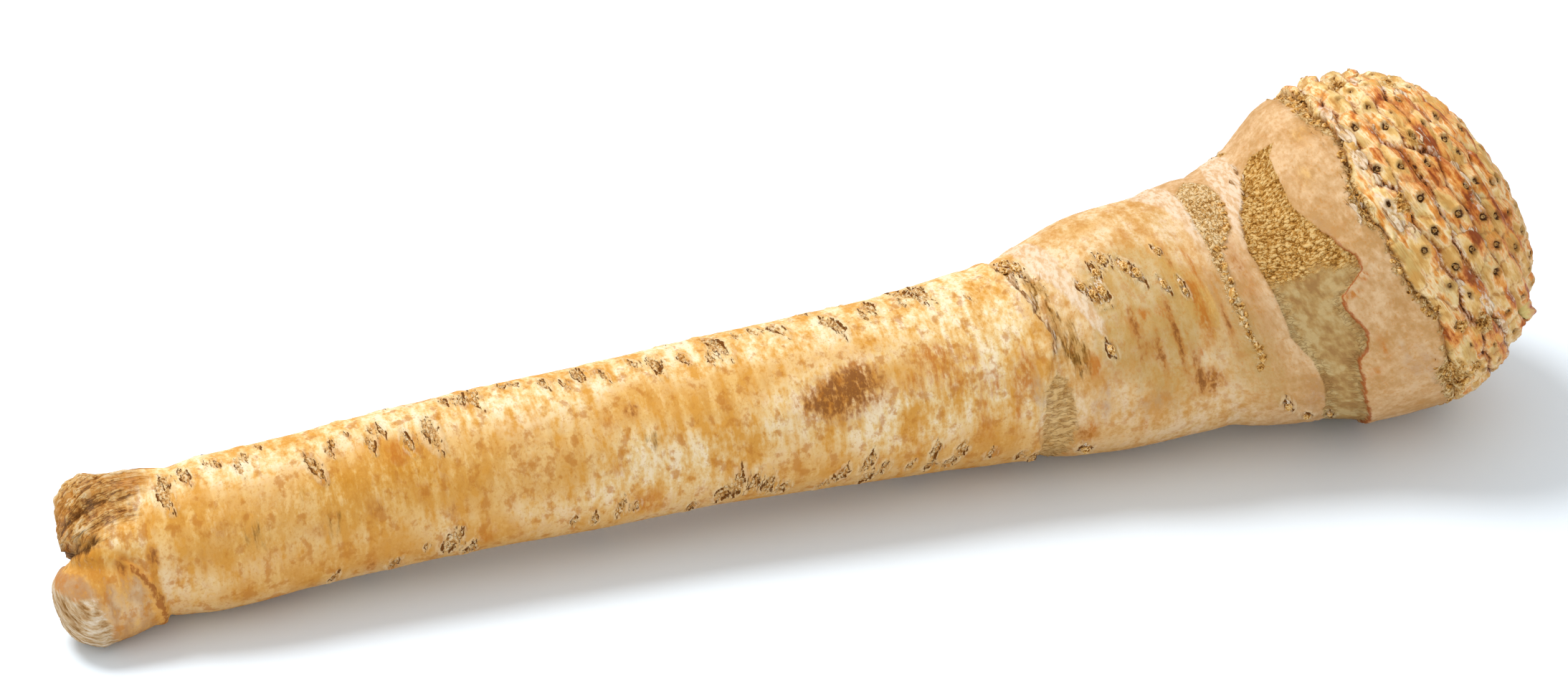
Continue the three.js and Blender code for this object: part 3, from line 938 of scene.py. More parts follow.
# %% Bundles
PLACED_BUNDLES = [
    # along, turn, radius of the bundle's hole
    (274.9, 92, 0.7), (273.3, 107, 1.1), (271.2, 124, 0.9), (275.3, 128, 0.9), (274.4, 140, 0.9),
    (272.8, 151, 1.0), (272.3, 165, 1.1), (271.6, 176, 0.9), (268.4, 154, 0.8), (268.8, 168, 0.8),
    (279, 112, 1.0), (279.2, 101, 1.0), (279, 89, 0.8), (282.9, 120, 1.2), (281, 132, 1.1),
    (279.7, 152, 1.0), (277.9, 165, 1.0), (279.6, 178, 0.8), (287.2, 101, 1.1), (288, 117, 0.9),
    (285.7, 147, 1.0), (284.8, 160, 0.9), (294, 114, 1.0), (290, 127, 0.9), (291, 135, 0.8),
    (289.9, 149, 0.8), (295, 156, 0.7), (284, 172, 0.9), (265.4, 181, 0.9),
]
BUNDLE_STEP = 8.5  # millimetres between neighbours of a ring, where they aren't listed
NEIGHBOURLY = 0.75  # share of a ring's even step that two bundles keep between them
CROWN_START = 266  # where the first ring of scars starts, under the collar
APEX = RIM + DOME_LENGTH
bones = random.Random(5)


def ring_of(along, turn):
    """Which ring of scars a place is in: the number of crevices that it has passed."""
    return int(sum(along > crevice(index, turn) for index in range(ring_count)))


def ring_middle(ring, turn):
    """Place along the root of the middle of a ring of scars, at a turn."""
    start = crevice(ring - 1, turn) if ring else CROWN_START
    end = crevice(ring, turn) if ring < ring_count else APEX
    return float(start + end) / 2


def even_count(ring):
    """How many bundles an even ring of scars has."""
    start = crevice(ring - 1, 270) if ring else CROWN_START + 1
    over = (float(start) + CREVICE_STEP / 2 - RIM) / DOME_LENGTH
    girth = math.tau * RING_RADIUS[-1] * float(dome_share(min(0.97, over)))
    return max(2, round(girth / BUNDLE_STEP))


bundles = {ring: [] for ring in range(ring_count + 1)}
for along, turn, hole in PLACED_BUNDLES:
    bundles[ring_of(along, turn)].append((along, turn, hole))
for ring, row in bundles.items():
    count = even_count(ring)
    placed = [turn for _, turn, _ in row]
    for step in range(count):
        turn = ((step + 0.5 * (ring % 2) + bones.uniform(-0.2, 0.2)) * 360 / count) % 360
        gaps = [abs(turned(turn, other)) for other in placed]
        if min(gaps, default=360) > NEIGHBOURLY * 360 / count:
            hole = bones.choice((0, 0.6, 0.8, 0.9, 1.0))
            row.append((ring_middle(ring, turn) + bones.uniform(-0.6, 0.6), turn, hole))
print(sum(len(row) for row in bundles.values()), "bundles in", len(bundles), "rings")

# %% [markdown]
# ## Which bundle a point belongs to
# Every point of the crown is compared with all the bundles, in slices that fit in memory. It belongs
# to the nearest one. Half the difference between that distance and the next one is how far the point
# lies from their border: from a crevice where the other bundle is in another ring, and from a faint
# parting where it is in the same ring. Noise added to the points first makes the borders wander.

# %% Nearest bundles
STRETCH = 1.9  # how much more a millimetre along the root parts two bundles than one round it
SLICES = 16
rings = np.array([number for number, row in bundles.items() for _ in row])
places = np.array([bundle for row in bundles.values() for bundle in row])
seed_reach = np.array([half_across(along, turn) for along, turn, _ in places])
seeds = straightened(places[:, 0], places[:, 1], seed_reach)
wander = np.stack([crown_skin.grain((4, 7), 70 + part) for part in range(3)], axis=1)
fray = crown_skin.grain((1.1, 2.5), 74)
metric = np.array([STRETCH, 1, 1])
seen = (crown_skin.straight + wander * (0.9, 1.1, 1.1) + 0.15 * fray[:, None]) * metric
tints = np.array([bones.random() for _ in rings])
crevice_gap, parting, tint = np.empty((3, len(seen)))
owner = np.empty(len(seen), int)
for part in np.array_split(np.arange(len(seen)), SLICES):
    squares = ((seen[part, None, :] - (seeds * metric)[None]) ** 2).sum(axis=2)
    rows = np.arange(len(part))
    first = squares.argmin(axis=1)
    same = rings[None, :] == rings[first][:, None]
    gaps = []
    for hidden in (same, ~same | (np.arange(len(seeds))[None, :] == first[:, None])):
        second = np.where(hidden, 1e9, squares).argmin(axis=1)
        apart = np.linalg.norm((seeds[second] - seeds[first]) * metric**2, axis=1)
        gaps.append((squares[rows, second] - squares[rows, first]) / 2 / np.maximum(apart, 1))
    crevice_gap[part], parting[part] = gaps
    blend = 0.5 * (1 - smooth_step(gaps[1], 0, 1.5))
    tint[part] = tints[first] * (1 - blend) + tints[second] * blend
    owner[part] = first
print("crown: each point has one of", len(seeds), "bundles")

# %% Marks of the crown
HOLE_SIZE = 0.75  # radius of the pit round a bundle's end, as a share of the bundle's own number
share = np.clip(0.5 + (crown_skin.along - places[owner, 0]) / CREVICE_STEP, 0, 1)
size = places[owner, 2]
offset = crown_skin.straight - seeds[owner]
apart = np.hypot(offset[:, 0] * 1.1, np.hypot(offset[:, 1], offset[:, 2]) * 0.9)
hole = np.where(size > 0, HOLE_SIZE * size - apart, -INSIDE)
hole += 0.15 * crown_skin.tremble + 0.15 * crown_skin.wobble
crown_skin.include("cell", crevice_gap)
crown_skin.include("parting", parting)
crown_skin.include("hole", hole)
crown_skin.add("scar_tint", tint)
crown_skin.add("share", share)
BLUSHES = [
    # along, turn, half length along, half length round, strength
    (277.5, 127, 2, 4, 1.0), (285.5, 112, 1.6, 9, 0.75), (285.5, 130, 2.2, 6, 1.1), (295, 104, 4, 4, 1.0),
    (291, 163, 2.4, 4, 1.2), (273.8, 172, 1, 5, 1.0), (275, 132, 1.6, 3, 0.8), (284, 152, 3, 5, 0.6),
    (283, 168, 3, 3, 0.7), (263, 183, 1.6, 5, 0.9), (285, 92, 1.2, 6, 0.5), (282.5, 96, 1.4, 2, 0.6),
    (288, 178, 2, 5, 0.8), (296, 142, 2, 4, 0.7), (292, 184, 2, 4, 0.9), (272, 199, 3, 6, 0.6),
    (300, 120, 6, 6, 0.6), (268, 192, 2, 3, 0.6), (281, 162, 2, 3, 0.8), (280, 140, 2, 5, 0.7),
    (287, 124, 2, 4, 0.7), (278.5, 159, 1.4, 5, 0.6), (289, 141, 2, 4, 0.7), (283, 104, 1.4, 4, 0.4),
    (276, 118, 1.2, 3, 0.6), (270, 160, 1.2, 4, 0.5),
]
crown_skin.add("blush", smooth_step(share, 0.4, 1.0) * (0.65 + 0.8 * crown_skin.grain((7, 6), 71)))
for *place, strength in BLUSHES:
    stain(crown_skin, "blush", *place, strength=strength)
paper_edge = 0.35 - np.abs(crevice_gap - 0.4) + 0.9 * crown_skin.grain((3, 6), 78, octaves=3) - 0.5
crown_skin.include("paper", paper_edge)
FLAKES = [
    # along, turn, half length along, half length round
    (270.2, 107, 1.0, 3.4), (268.6, 120, 1.0, 3), (267.6, 138, 1.3, 3.2), (276.4, 145, 0.6, 2),
    (275.6, 157, 0.6, 2.6), (274, 182, 0.9, 2.6), (286, 155, 1.1, 2), (270.2, 97, 0.7, 2.4),
    (268.6, 146, 0.6, 1.6), (282.4, 80, 1, 2), (275, 200, 0.8, 4), (283, 240, 1, 3), (272, 300, 1, 4),
]
for flake in FLAKES:
    half_along = flake[2]
    crown_skin.include("paper", (1 - from_oval(crown_skin, *flake)) * half_along + 0.35 * fray)
print(len(BLUSHES), "blushes and", len(FLAKES), "papers on the crown")

# %% Relief of the crown
SHINGLE_HEIGHT = 1.3
SHINGLE_TILT = 1.1  # how much higher the apex end of a shingle is than its foot
PIT_DEPTH = 0.9
STUB_BULGE = 0.5  # how far a pit's floor rises where a bundle's end stands in it
swell = 1 - np.exp(-np.maximum(crevice_gap, 0) / 0.7)
on_crown = smooth_step(crown_skin.past_trench, 0.3, 2.0)
crown_skin.height += on_crown * (SHINGLE_HEIGHT * swell - 0.7 + SHINGLE_TILT * (share - 0.5) * swell)
crown_skin.height -= on_crown * 0.3 * hump(parting, 0.7) * swell
crown_skin.height -= PIT_DEPTH * smooth_step(hole, -0.3, 0.3)
crown_skin.height += STUB_BULGE * smooth_step(hole, 0.25, 0.5) * (size > 0.75)
crown_skin.height += 0.25 * hump(hole + 0.45, 0.4)
crown_skin.height += 0.2 * smooth_step(crown_skin.marks["paper"], -0.1, 0.2)
crown_skin.height += 0.2 * crown_skin.grain((0.9, 4), 73, octaves=3)
crown_skin.height += 0.25 * wander[:, 0]
print("crown: deepest", crown_skin.height.min().round(1), "highest", crown_skin.height.max().round(1), "mm")

# %% [markdown]
# ## Dead fibre in the trench
# Round the collar runs a trench of brown cork crumbs and fibre. Both zones carry it, so it is worked
# out for both with the same numbers. Crusty knots sit in it here and there.

# %% Trench
TRENCH_WIDTH = [
    # turn, half the width in mm
    (0, 0.6), (80, 1.9), (94, 1.4), (104, 0.5), (114, 0.2), (122, 1.0), (132, 1.5), (142, 0.5),
    (156, 0.3), (164, 0.9), (176, 0.4), (186, 0.1), (196, 1.4), (206, 1.5), (225, 0.6),
]
CRUSTY_KNOTS = [
    # along, turn, radius in mm
    (269, 80, 2.4), (278, 79, 1.8), (260.6, 199, 2.8), (261.5, 206, 2.4), (271.2, 190, 1.9),
    (266.5, 183, 1.4), (265.5, 205, 1.4), (290, 84, 1.6), (270.4, 138, 1.5), (264, 300, 2.4),
    (268, 20, 2.0), (281, 250, 1.8), (262, 262, 2.0),
]
TRENCH_DEPTH = 0.4
CRUMBLE = 0.9  # height of the cork and fibre in the trench
for skin in skins.values():
    half = round_line(TRENCH_WIDTH, skin.turn)
    fringe = skin.grain((1.2, 1.2), 80, octaves=3)
    inside = half - np.abs(skin.past_trench + 0.5) + fringe
    for along, turn, size in CRUSTY_KNOTS:
        knot = size - np.hypot(skin.along - along, 0.75 * skin.arc(turn)) + 0.8 * fringe
        inside = np.maximum(inside, knot)
    skin.include("fibre", inside)
    if skin is not shank_skin:
        skin.height -= TRENCH_DEPTH * smooth_step(inside, -0.6, 1.2)
        skin.height += CRUMBLE * smooth_step(inside, -0.3, 0.6) * fringe
        # The fibre's height, stored for the material to paint darker where low: painted shade.
        skin.add("relief", smooth_step(inside, -0.3, 0.6) * fringe)
print("trench laid, with", len(CRUSTY_KNOTS), "crusty knots")

# %% [markdown]
# ## Setting the skins down
# A last, fine relief goes over the smooth stretches. Then every skin gets every mark, because a
# material reads a missing attribute as 0, and for a distance that means the edge of the region. The
# flap's mark comes last, as do the moves. Decimate then takes out what the smooth stretches don't need.

# %% Fine relief and marks
FINE_RELIEF = [
    # skin, height in mm, size of the grain, seed
    (shank_skin, 0.16, (10, 6), 90),
    (shank_skin, 0.07, (1.6, 5), 91),
    (flare_skin, 0.05, (1.6, 4), 92),
]
for skin, height, size, seed in FINE_RELIEF:
    skin.height += height * skin.grain(size, seed)
AMOUNTS = {*STAINS, "torn", "calm", "tan", "knot", "white", "lip", "relief", "blush", "scar_tint", "share"}
for skin in skins.values():
    skin.include("flap", skin.past_flap)
    # The turns where a painted shadow lies just past the neck flap's edge.
    skin.add("torn", round_step(skin.turn, 78, 90, 140, 156))
all_marks = sorted({name for skin in skins.values() for name in skin.marks})
for skin in skins.values():
    for name in all_marks:
        skin.marks.setdefault(name, 0.0 if name in AMOUNTS else -INSIDE)
    skin.settle()
print(len(all_marks), "marks on every skin")

# %% Fewer faces
MOST_TRIANGLES = 196_000


def trimmed(zone):
    """Takes out the faces that a zone's smooth stretches don't need."""
    count = triangles(zone)
    if count > MOST_TRIANGLES:
        fewer = zone.modifiers.new("fewer_faces", "DECIMATE")
        fewer.ratio = MOST_TRIANGLES / count
        apply_modifiers(zone)
    return count, triangles(zone)


for zone in zones.values():
    print(zone.name, "triangles before and after:", *trimmed(zone))
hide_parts(CAD_NODE)

# %% [markdown]
# ## Building a finish
# Every finish is one shader, fed by a chain of colours: a ground, then one layer after another laid
# over it where a mark or a noise says so. Two small classes keep this short: a `Shader` makes nodes,
# and a `Finish` lays colours with them. The noises read the straightened places, in centimetres, that
# every skin carries, so grain follows the root round its bends. The darkest layers are laid at full
# strength, because a half mix of brown and cream is grey.

# %% Colours
def paint(code):
    """A colour such as #dcb679 as the linear values that nodes take."""
    parts = [int(code[place : place + 2], 16) / 255 for place in (1, 3, 5)]
    linear = [part / 12.92 if part <= 0.04045 else ((part + 0.055) / 1.055) ** 2.4 for part in parts]
    return (*linear, 1)


print("cream, as nodes take it:", [round(part, 3) for part in paint("#f6dda4")])


# %% The Shader class
class Shader:
    """One material: a Principled shader, and short calls for the nodes that feed it."""

    def __init__(self, name, roughness, shine=0.1):
        self.material = bpy.data.materials.new(name)
        self.material.use_nodes = True
        self.tree = self.material.node_tree
        self.shader = self.tree.nodes["Principled BSDF"]
        self.shader.inputs["Roughness"].default_value = roughness
        self.shader.inputs["Specular IOR Level"].default_value = shine

    def node(self, kind, inputs, **settings):
        """Adds a node. Each input is a value or another node's output."""
        made = self.tree.nodes.new("ShaderNode" + kind)
        for name, value in settings.items():
            setattr(made, name, value)
        for socket, value in inputs.items():
            if isinstance(value, bpy.types.NodeSocket):
                self.tree.links.new(value, made.inputs[socket])
            else:
                made.inputs[socket].default_value = value
        return made

    def mark(self, name):
        """What a mark of the mesh says at each point."""
        return self.node("Attribute", {}, attribute_name=name).outputs["Fac"]

    def math(self, operation, a, b=0.0):
        """One step of arithmetic on outputs or numbers."""
        return self.node("Math", {0: a, 1: b}, operation=operation).outputs[0]

    def product(self, first, *others):
        """Outputs and numbers, multiplied."""
        for other in others:
            first = self.math("MULTIPLY", first, other)
        return first

    def total(self, *parts, rest=0.0):
        """The sum of outputs, each times a factor, and a rest."""
        for output, factor in parts:
            scaled = self.node("Math", {0: output, 1: factor, 2: rest}, operation="MULTIPLY_ADD")
            rest = scaled.outputs[0]
        return rest

    def grain(self, size, detail=3.0, seed=0.0, rough=0.55, way="straight"):
        """Noise from 0 to 1. size is the grain in mm: along the root, and round it."""
        straight = self.node("Attribute", {}, attribute_name=way).outputs["Vector"]
        scale = (CM / size[0], CM / size[1], CM / size[1])
        place = self.node("VectorMath", {0: straight, 1: scale}, operation="MULTIPLY").outputs[0]
        place = self.node("VectorMath", {0: place, 1: (seed, seed, seed)}, operation="ADD").outputs[0]
        inputs = {"Vector": place, "Scale": 1.0, "Detail": detail, "Roughness": rough}
        return self.node("TexNoise", inputs).outputs["Fac"]

    def cut(self, value, low, high):
        """0 at low, 1 at high and smooth between. high may be the smaller one."""
        inputs = {"Value": value, "From Min": low, "From Max": high}
        return self.node("MapRange", inputs, interpolation_type="SMOOTHSTEP").outputs["Result"]

    def off_line(self, distance, low, high):
        """A cut of how far a distance is from zero, on either side."""
        return self.cut(self.math("ABSOLUTE", distance), low, high)

    def creases(self, size, seed, width=0.03, detail=2.0, way="straight"):
        """0 in thin winding creases and 1 on the flats between them, about size mm apart."""
        centred = self.math("SUBTRACT", self.grain(size, detail, seed, way=way), 0.5)
        return self.off_line(centred, 0.0, width)

    def ramp(self, value, *stops):
        """A colour for each value: stops are pairs of a position and a colour code."""
        made = self.node("ValToRGB", {"Fac": value})
        band = made.color_ramp
        band.elements[0].position, band.elements[1].position = stops[0][0], stops[-1][0]
        band.elements[0].color, band.elements[1].color = paint(stops[0][1]), paint(stops[-1][1])
        for position, code in stops[1:-1]:
            band.elements.new(position).color = paint(code)
        return made.outputs["Color"]


# %% The Finish class
class Finish(Shader):
    """A shader's chain of colours: a ground, then one layer after another over it."""

    colour = None  # the chain so far

    def over(self, under, top, amount, strength=1.0):
        """Lays one colour over another where amount is 1, at a strength."""
        if strength < 1:
            amount = self.product(amount, strength)
        inputs = {0: amount, 6: under, 7: top if isinstance(top, bpy.types.NodeSocket) else paint(top)}
        return self.node("Mix", inputs, data_type="RGBA").outputs[2]

    def lay(self, top, amount, strength=1.0):
        """Lays one more colour over the whole finish so far."""
        self.colour = self.over(self.colour, top, amount, strength)

    def ragged(self, name, grain, by):
        """A mark that is a distance, with its edge moved by a noise: by mm between its two extremes."""
        return self.total((self.mark(name), 1), (grain, by), rest=-0.5 * by)

    def inside(self, name, grain, by, soft):
        """1 inside a marked region with a ragged edge, and 0 outside."""
        return self.cut(self.ragged(name, grain, by), -soft, soft)

    def clouded(self, name, grain, reach=4.0, low=0.2, high=1.0):
        """How strongly a stain shows: its amount, broken up by a noise."""
        broken = self.total((grain, reach), rest=1 - 0.5 * reach)
        return self.cut(self.product(self.mark(name), broken), low, high)

    def crumpled(self, lines, grain, *stops):
        """Colours of a crust: the first stops paint shade into its creases and low places, the last are for
        its crumbs.
        """
        tone = self.total((self.mark("relief"), 0.3), (lines, 0.4), (grain, 1.8), rest=-0.65)
        return self.ramp(tone, *stops)

    def aged(self, colour, tone):
        """Multiplies a colour by a tone, as a thin brown film on the skin does."""
        inputs = {0: 1.0, 6: colour, 7: paint(tone)}
        return self.node("Mix", inputs, data_type="RGBA", blend_type="MULTIPLY").outputs[2]

    def finish(self, colour, height=None, depth=0.3):
        """Connects the colour, and a bump whose height 0 to 1 is depth mm."""
        self.tree.links.new(colour, self.shader.inputs["Base Color"])
        if height is not None:
            inputs = {"Height": height, "Distance": depth * MM, "Strength": 1.0}
            bump = self.node("Bump", inputs).outputs["Normal"]
            self.tree.links.new(bump, self.shader.inputs["Normal"])
        return self.material


# %% [markdown]
# ## The root's skin
# The ground is cream that clouds into gold. Over it come the stains, each broken up by noise, with a
# darker, browner underside as painted shade. Then the bare band, the crusts and the papers, a painted
# shadow past the neck flap, the tail's bark and dry ends, and last the dark things: cracks, folds and
# fibre. The same noises that colour the rough grounds also drive the bump, so a valley is painted
# darker where it is deep, as painted shade.

# %% Ground of shank and flare
coat = Finish("root_skin", roughness=0.6, shine=0.04)
cloud = coat.grain((12, 8), 3, 1)
columns = coat.grain((2.2, 12), 3, 2)
mottle = coat.grain((1.5, 2.2), 3, 3, 0.5)
speck = coat.grain((0.5, 0.6), 3, 4)
finer = coat.grain((0.8, 1.3), 4, 6, 0.6)
tone = coat.total((cloud, 0.25), (columns, 0.35), (mottle, 0.2), (finer, 0.2))
coat.colour = coat.ramp(tone, (0.42, "#dfa64e"), (0.47, "#ebc078"), (0.52, "#f6dda4"), (0.57, "#fff2cf"))
calm = coat.mark("calm")
calm_tone = coat.total((cloud, 0.45), (mottle, 0.3), (finer, 0.25))
coat.lay(coat.ramp(calm_tone, (0.42, "#c69d68"), (0.5, "#d6b080"), (0.58, "#e5c59a")), calm)
print("ground:", len(coat.tree.nodes), "nodes")

# %% Stains of shank and flare
streaks = coat.grain((0.9, 3.6), 4, 5, 0.6)
broad = coat.total((mottle, 0.5), (columns, 0.5))
# Rosy skin, which on the lower stump's underside also darkens it as painted shade.
coat.lay("#b08c6e", coat.clouded("rosy", broad), 0.75)
coat.lay("#fbecc8", coat.clouded("pale", broad), 0.75)
gold_tone = coat.total((columns, 0.6), (finer, 0.4))
gold_colour = coat.ramp(gold_tone, (0.42, "#d0902f"), (0.5, "#dca244"), (0.6, "#ecc070"))
gold_grain = coat.total((columns, 0.4), (mottle, 0.3), (finer, 0.3))
coat.lay(gold_colour, coat.clouded("gold", gold_grain, 7), 0.85)
coat.lay("#c0a05c", coat.clouded("green", broad, 3), 0.6)
# Painted shade: the underside laid darker and browner, less so on the collar.
coat.lay("#bd8240", coat.product(coat.mark("tan"), coat.total((calm, -0.6), rest=1.0)), 0.33)
olive = coat.clouded("olive", streaks, 5)
olive_grain = coat.grain((0.6, 4.0), 5, 22, 0.65)
coat.lay(coat.ramp(olive_grain, (0.4, "#7b5522"), (0.47, "#ab8040"), (0.54, "#d9b070")), olive)
orange_grain = coat.total((finer, 0.5), (streaks, 0.5))
coat.lay("#c67a2a", coat.clouded("orange", orange_grain, 8, 0.1, 1.5), 0.85)
brown_grain = coat.total((finer, 0.6), (streaks, 0.4))
coat.lay("#c07e38", coat.clouded("brown", brown_grain, 5, 0.1, 1.0), 0.75)
coat.lay("#8f5a2a", coat.clouded("brown", brown_grain, 6, 0.5, 1.6), 0.9)
dot_grain = coat.total((coat.grain((2.4, 3.0), 4, 9, 0.6), 1), (coat.mark("tan"), 0.02))
dots = coat.product(coat.cut(dot_grain, 0.53, 0.66), coat.total((calm, -0.8), rest=1.0))
coat.lay("#c07c30", dots, 0.65)
coat.lay("#cc8f3e", coat.cut(speck, 0.53, 0.68), 0.4)
print("with stains:", len(coat.tree.nodes), "nodes")

# %% Bare band and dry crust
bare_mark = coat.mark("bare")
bare = coat.cut(bare_mark, -0.2, 0.2)
by_edge = coat.cut(bare_mark, 3.5, 0.8)
wrinkle = coat.creases((4.0, 0.8), 7, 0.06)
bare_tone = coat.total((mottle, 0.5), (cloud, 0.5))
bare_colour = coat.ramp(bare_tone, (0.42, "#a98350"), (0.5, "#bb9a62"), (0.58, "#cbb27e"))
# Painted shade: the bare band's wrinkles are darkened, most near its edges.
bare_lines = coat.product(coat.total((wrinkle, -1), rest=1.0), coat.total((by_edge, 0.7), rest=0.15))
coat.lay(coat.over(bare_colour, "#946a34", bare_lines, 0.6), bare)
crust_grain = coat.grain((1.5, 0.7), 4, 8, 0.65)
crust_lines = coat.creases((2.0, 0.8), 13, 0.08)
in_crust = coat.product(coat.cut(coat.ragged("crust", crust_grain, 6), -0.6, 1.6), bare)
crust_stops = ((0.1, "#86561a"), (0.35, "#b68036"), (0.6, "#d6a558"), (0.85, "#f0ce8c"))
coat.lay(coat.crumpled(crust_lines, crust_grain, *crust_stops), in_crust)
print("with the bare band:", len(coat.tree.nodes), "nodes")

# %% Crumbs, bed, papers and lips
crumb_grain = coat.grain((1.0, 1.0), 4, 16, 0.65)
crumb_lines = coat.creases((1.1, 1.1), 17, 0.07)
in_crumb = coat.inside("crumb", crumb_grain, 3, soft=0.4)
crumb_stops = ((0.1, "#8e5f20"), (0.35, "#c8944a"), (0.6, "#e5c080"), (0.85, "#f6e0b2"))
coat.lay(coat.crumpled(crumb_lines, crumb_grain, *crumb_stops), in_crumb, 0.9)
bed_lines = coat.creases((2.8, 1.1), 10, 0.09, 3.0)
in_bed = coat.inside("bed", finer, 3, soft=0.5)
bed_stops = ((0.05, "#9a6c34"), (0.35, "#c49c5e"), (0.8, "#dfbe84"))
coat.lay(coat.crumpled(bed_lines, crust_grain, *bed_stops), in_bed, 0.85)
paper_grain = coat.grain((1.0, 2.4), 4, 11, 0.6)
paper_colour = coat.ramp(paper_grain, (0.40, "#dcb88e"), (0.48, "#e9d0ae"), (0.56, "#f4e4cc"))
in_paper = coat.inside("paper", paper_grain, 1.5, soft=0.5)
coat.lay(paper_colour, coat.product(in_paper, coat.cut(coat.mark("white"), 0, 1)), 0.8)
lip = coat.off_line(coat.total((bare_mark, 1), (finer, 1.6), rest=-0.7), 0.5, 0.05)
coat.lay("#a8561e", coat.product(lip, coat.mark("lip")), 0.85)
# Painted shadow: a dark line just past the neck flap's edge, where the flap shades the skin.
flap_shadow_line = coat.off_line(coat.total((coat.mark("flap"), 1), (finer, 2.5), rest=-1.75), 0.45, 0.1)
coat.lay("#8a5826", coat.product(flap_shadow_line, coat.mark("torn")), 0.8)
print("with the flare's grounds:", len(coat.tree.nodes), "nodes")

# %% Bark, dry face and ridge of the tail
bark_grain = coat.grain((6.0, 1.0), 5, 12, 0.65, way="fibre_way")
bark_lines = coat.creases((5.0, 1.5), 18, 0.05, 3.0, way="fibre_way")
patches = coat.grain((9.0, 4.0), 2, 19, way="fibre_way")
relief = coat.mark("relief")
# Painted shade: the bark is darker where its relief is low.
bark_tone = coat.total((relief, 0.35), (bark_grain, 1.7), (bark_lines, 0.3), (crumb_grain, 1.2), rest=-1.25)
bark_stops = ((0.05, "#74441a"), (0.3, "#b57a3a"), (0.5, "#d8a962"), (0.7, "#e6c690"), (0.95, "#f2deb8"))
bark_colour = coat.over(coat.ramp(bark_tone, *bark_stops), "#cc8226", coat.cut(patches, 0.49, 0.6), 0.6)
in_bark = coat.inside("bark", patches, 8, soft=2.0)
coat.lay(bark_colour, in_bark, 0.9)
end_grain = coat.grain((3.5, 0.6), 5, 24, 0.65, way="fibre_way")
# Painted shade: the dry face is darker where its relief is low.
end_tone = coat.total((relief, 0.25), (bark_grain, 1.2), (end_grain, 2.0), rest=-1.1)
end_colour = coat.ramp(end_tone, (0.1, "#9c723c"), (0.35, "#caa474"), (0.55, "#e0c69e"), (0.8, "#f6e8d2"))
in_end = coat.inside("dry_end", bark_grain, 4, soft=0.6)
coat.lay(end_colour, in_end)
ridge = coat.ragged("ridge", finer, 3)
coat.lay("#dca04a", coat.cut(ridge, -1.2, -0.4), 0.7)
coat.lay("#a0602a", coat.cut(ridge, -0.3, 0.3), 0.85)


def lay_fibre(coat):
    """Crumpled cork and fibre where a skin is marked so. Gives its extent, creases and grain."""
    grain = coat.grain((0.8, 0.8), 5, 15, 0.72)
    lines = coat.creases((1.0, 1.0), 20, 0.06)
    extent = coat.inside("fibre", grain, 3, soft=0.4)
    stops = ((0.05, "#56300c"), (0.3, "#a07032"), (0.55, "#d0a055"), (0.85, "#f6dca6"))
    coat.lay(coat.crumpled(lines, grain, *stops), extent, 0.95)
    return extent, lines, grain


in_fibre, fibre_lines, fibre_grain = lay_fibre(coat)
print("with the tail:", len(coat.tree.nodes), "nodes")

# %% [markdown]
# ## Drawing a root scar
# The points near a scar know where they lie in it: `down` is -1 to 1 along the lens, and `across` is
# in half widths. The lens is where `across` is under a bow, which is a parabola of `down`. A crack
# runs along each bow and on past the tips, as thick as the streaks of a noise let it be. Inside the
# lens is pale cork with thin lines, and outside the cracks the skin is raised to a lip that is painted
# paler as a highlight.

# %% Scars and fold
across = coat.ragged("across", finer, 1.6)
by_scar = coat.cut(coat.mark("apart"), 1.6, 1.3)
down = coat.mark("down")
squared = coat.product(down, down)
bow = coat.math("MAXIMUM", coat.total((squared, -LENS_WIDTH), rest=LENS_WIDTH), 0.0)
past_bow = coat.math("SUBTRACT", coat.math("ABSOLUTE", across), bow)
taper = coat.total((squared, -1 / CRACK_REACH**2), rest=1.0)
in_lens = coat.product(coat.cut(past_bow, 0.1, -0.25), coat.cut(squared, 1.0, 0.8), by_scar)
thick = coat.total((taper, 0.1), (streaks, 2.0), rest=-1.1)
in_crack = coat.cut(coat.math("SUBTRACT", thick, coat.math("ABSOLUTE", past_bow)), -0.08, 0.05)
side_cracks = coat.product(in_crack, coat.cut(taper, 0.0, 0.2), by_scar)
lens_lines = coat.total((coat.creases((0.9, 1.8), 14, 0.012), -1), rest=1.0)
crack = coat.math("MAXIMUM", side_cracks, coat.product(lens_lines, in_lens))
# Painted highlight: a pale band on the raised lip just outside the cracks.
beside = coat.off_line(coat.math("SUBTRACT", past_bow, 0.4), 0.8, 0.0)
raised_lip_highlight = coat.product(beside, coat.cut(taper, -0.3, 0.7), by_scar, coat.cut(streaks, 0.42, 0.54))
coat.lay("#f8e6be", raised_lip_highlight, 0.4)
cork_grain = coat.grain((0.5, 0.9), 4, 21, 0.65)
cork_stops = ((0.38, "#9a6426"), (0.45, "#c48c48"), (0.52, "#e2bc80"), (0.58, "#f8e4ba"))
coat.lay(coat.ramp(cork_grain, *cork_stops), in_lens, 0.8)
coat.lay("#f8ead2", coat.product(in_lens, coat.mark("knot"), coat.cut(cork_grain, 0.46, 0.56)), 0.8)
coat.lay("#784816", crack)
coat.lay("#684420", coat.cut(coat.ragged("fold", bark_grain, 6), -0.6, 1.2))
print("with scars:", len(coat.tree.nodes), "nodes")

# %% Bump of shank and flare
SKIN_FILM = "#f0e9e4"
height = coat.total((speck, 0.12), (mottle, 0.15), (streaks, 0.2), (crack, -0.35), (raised_lip_highlight, 0.15))
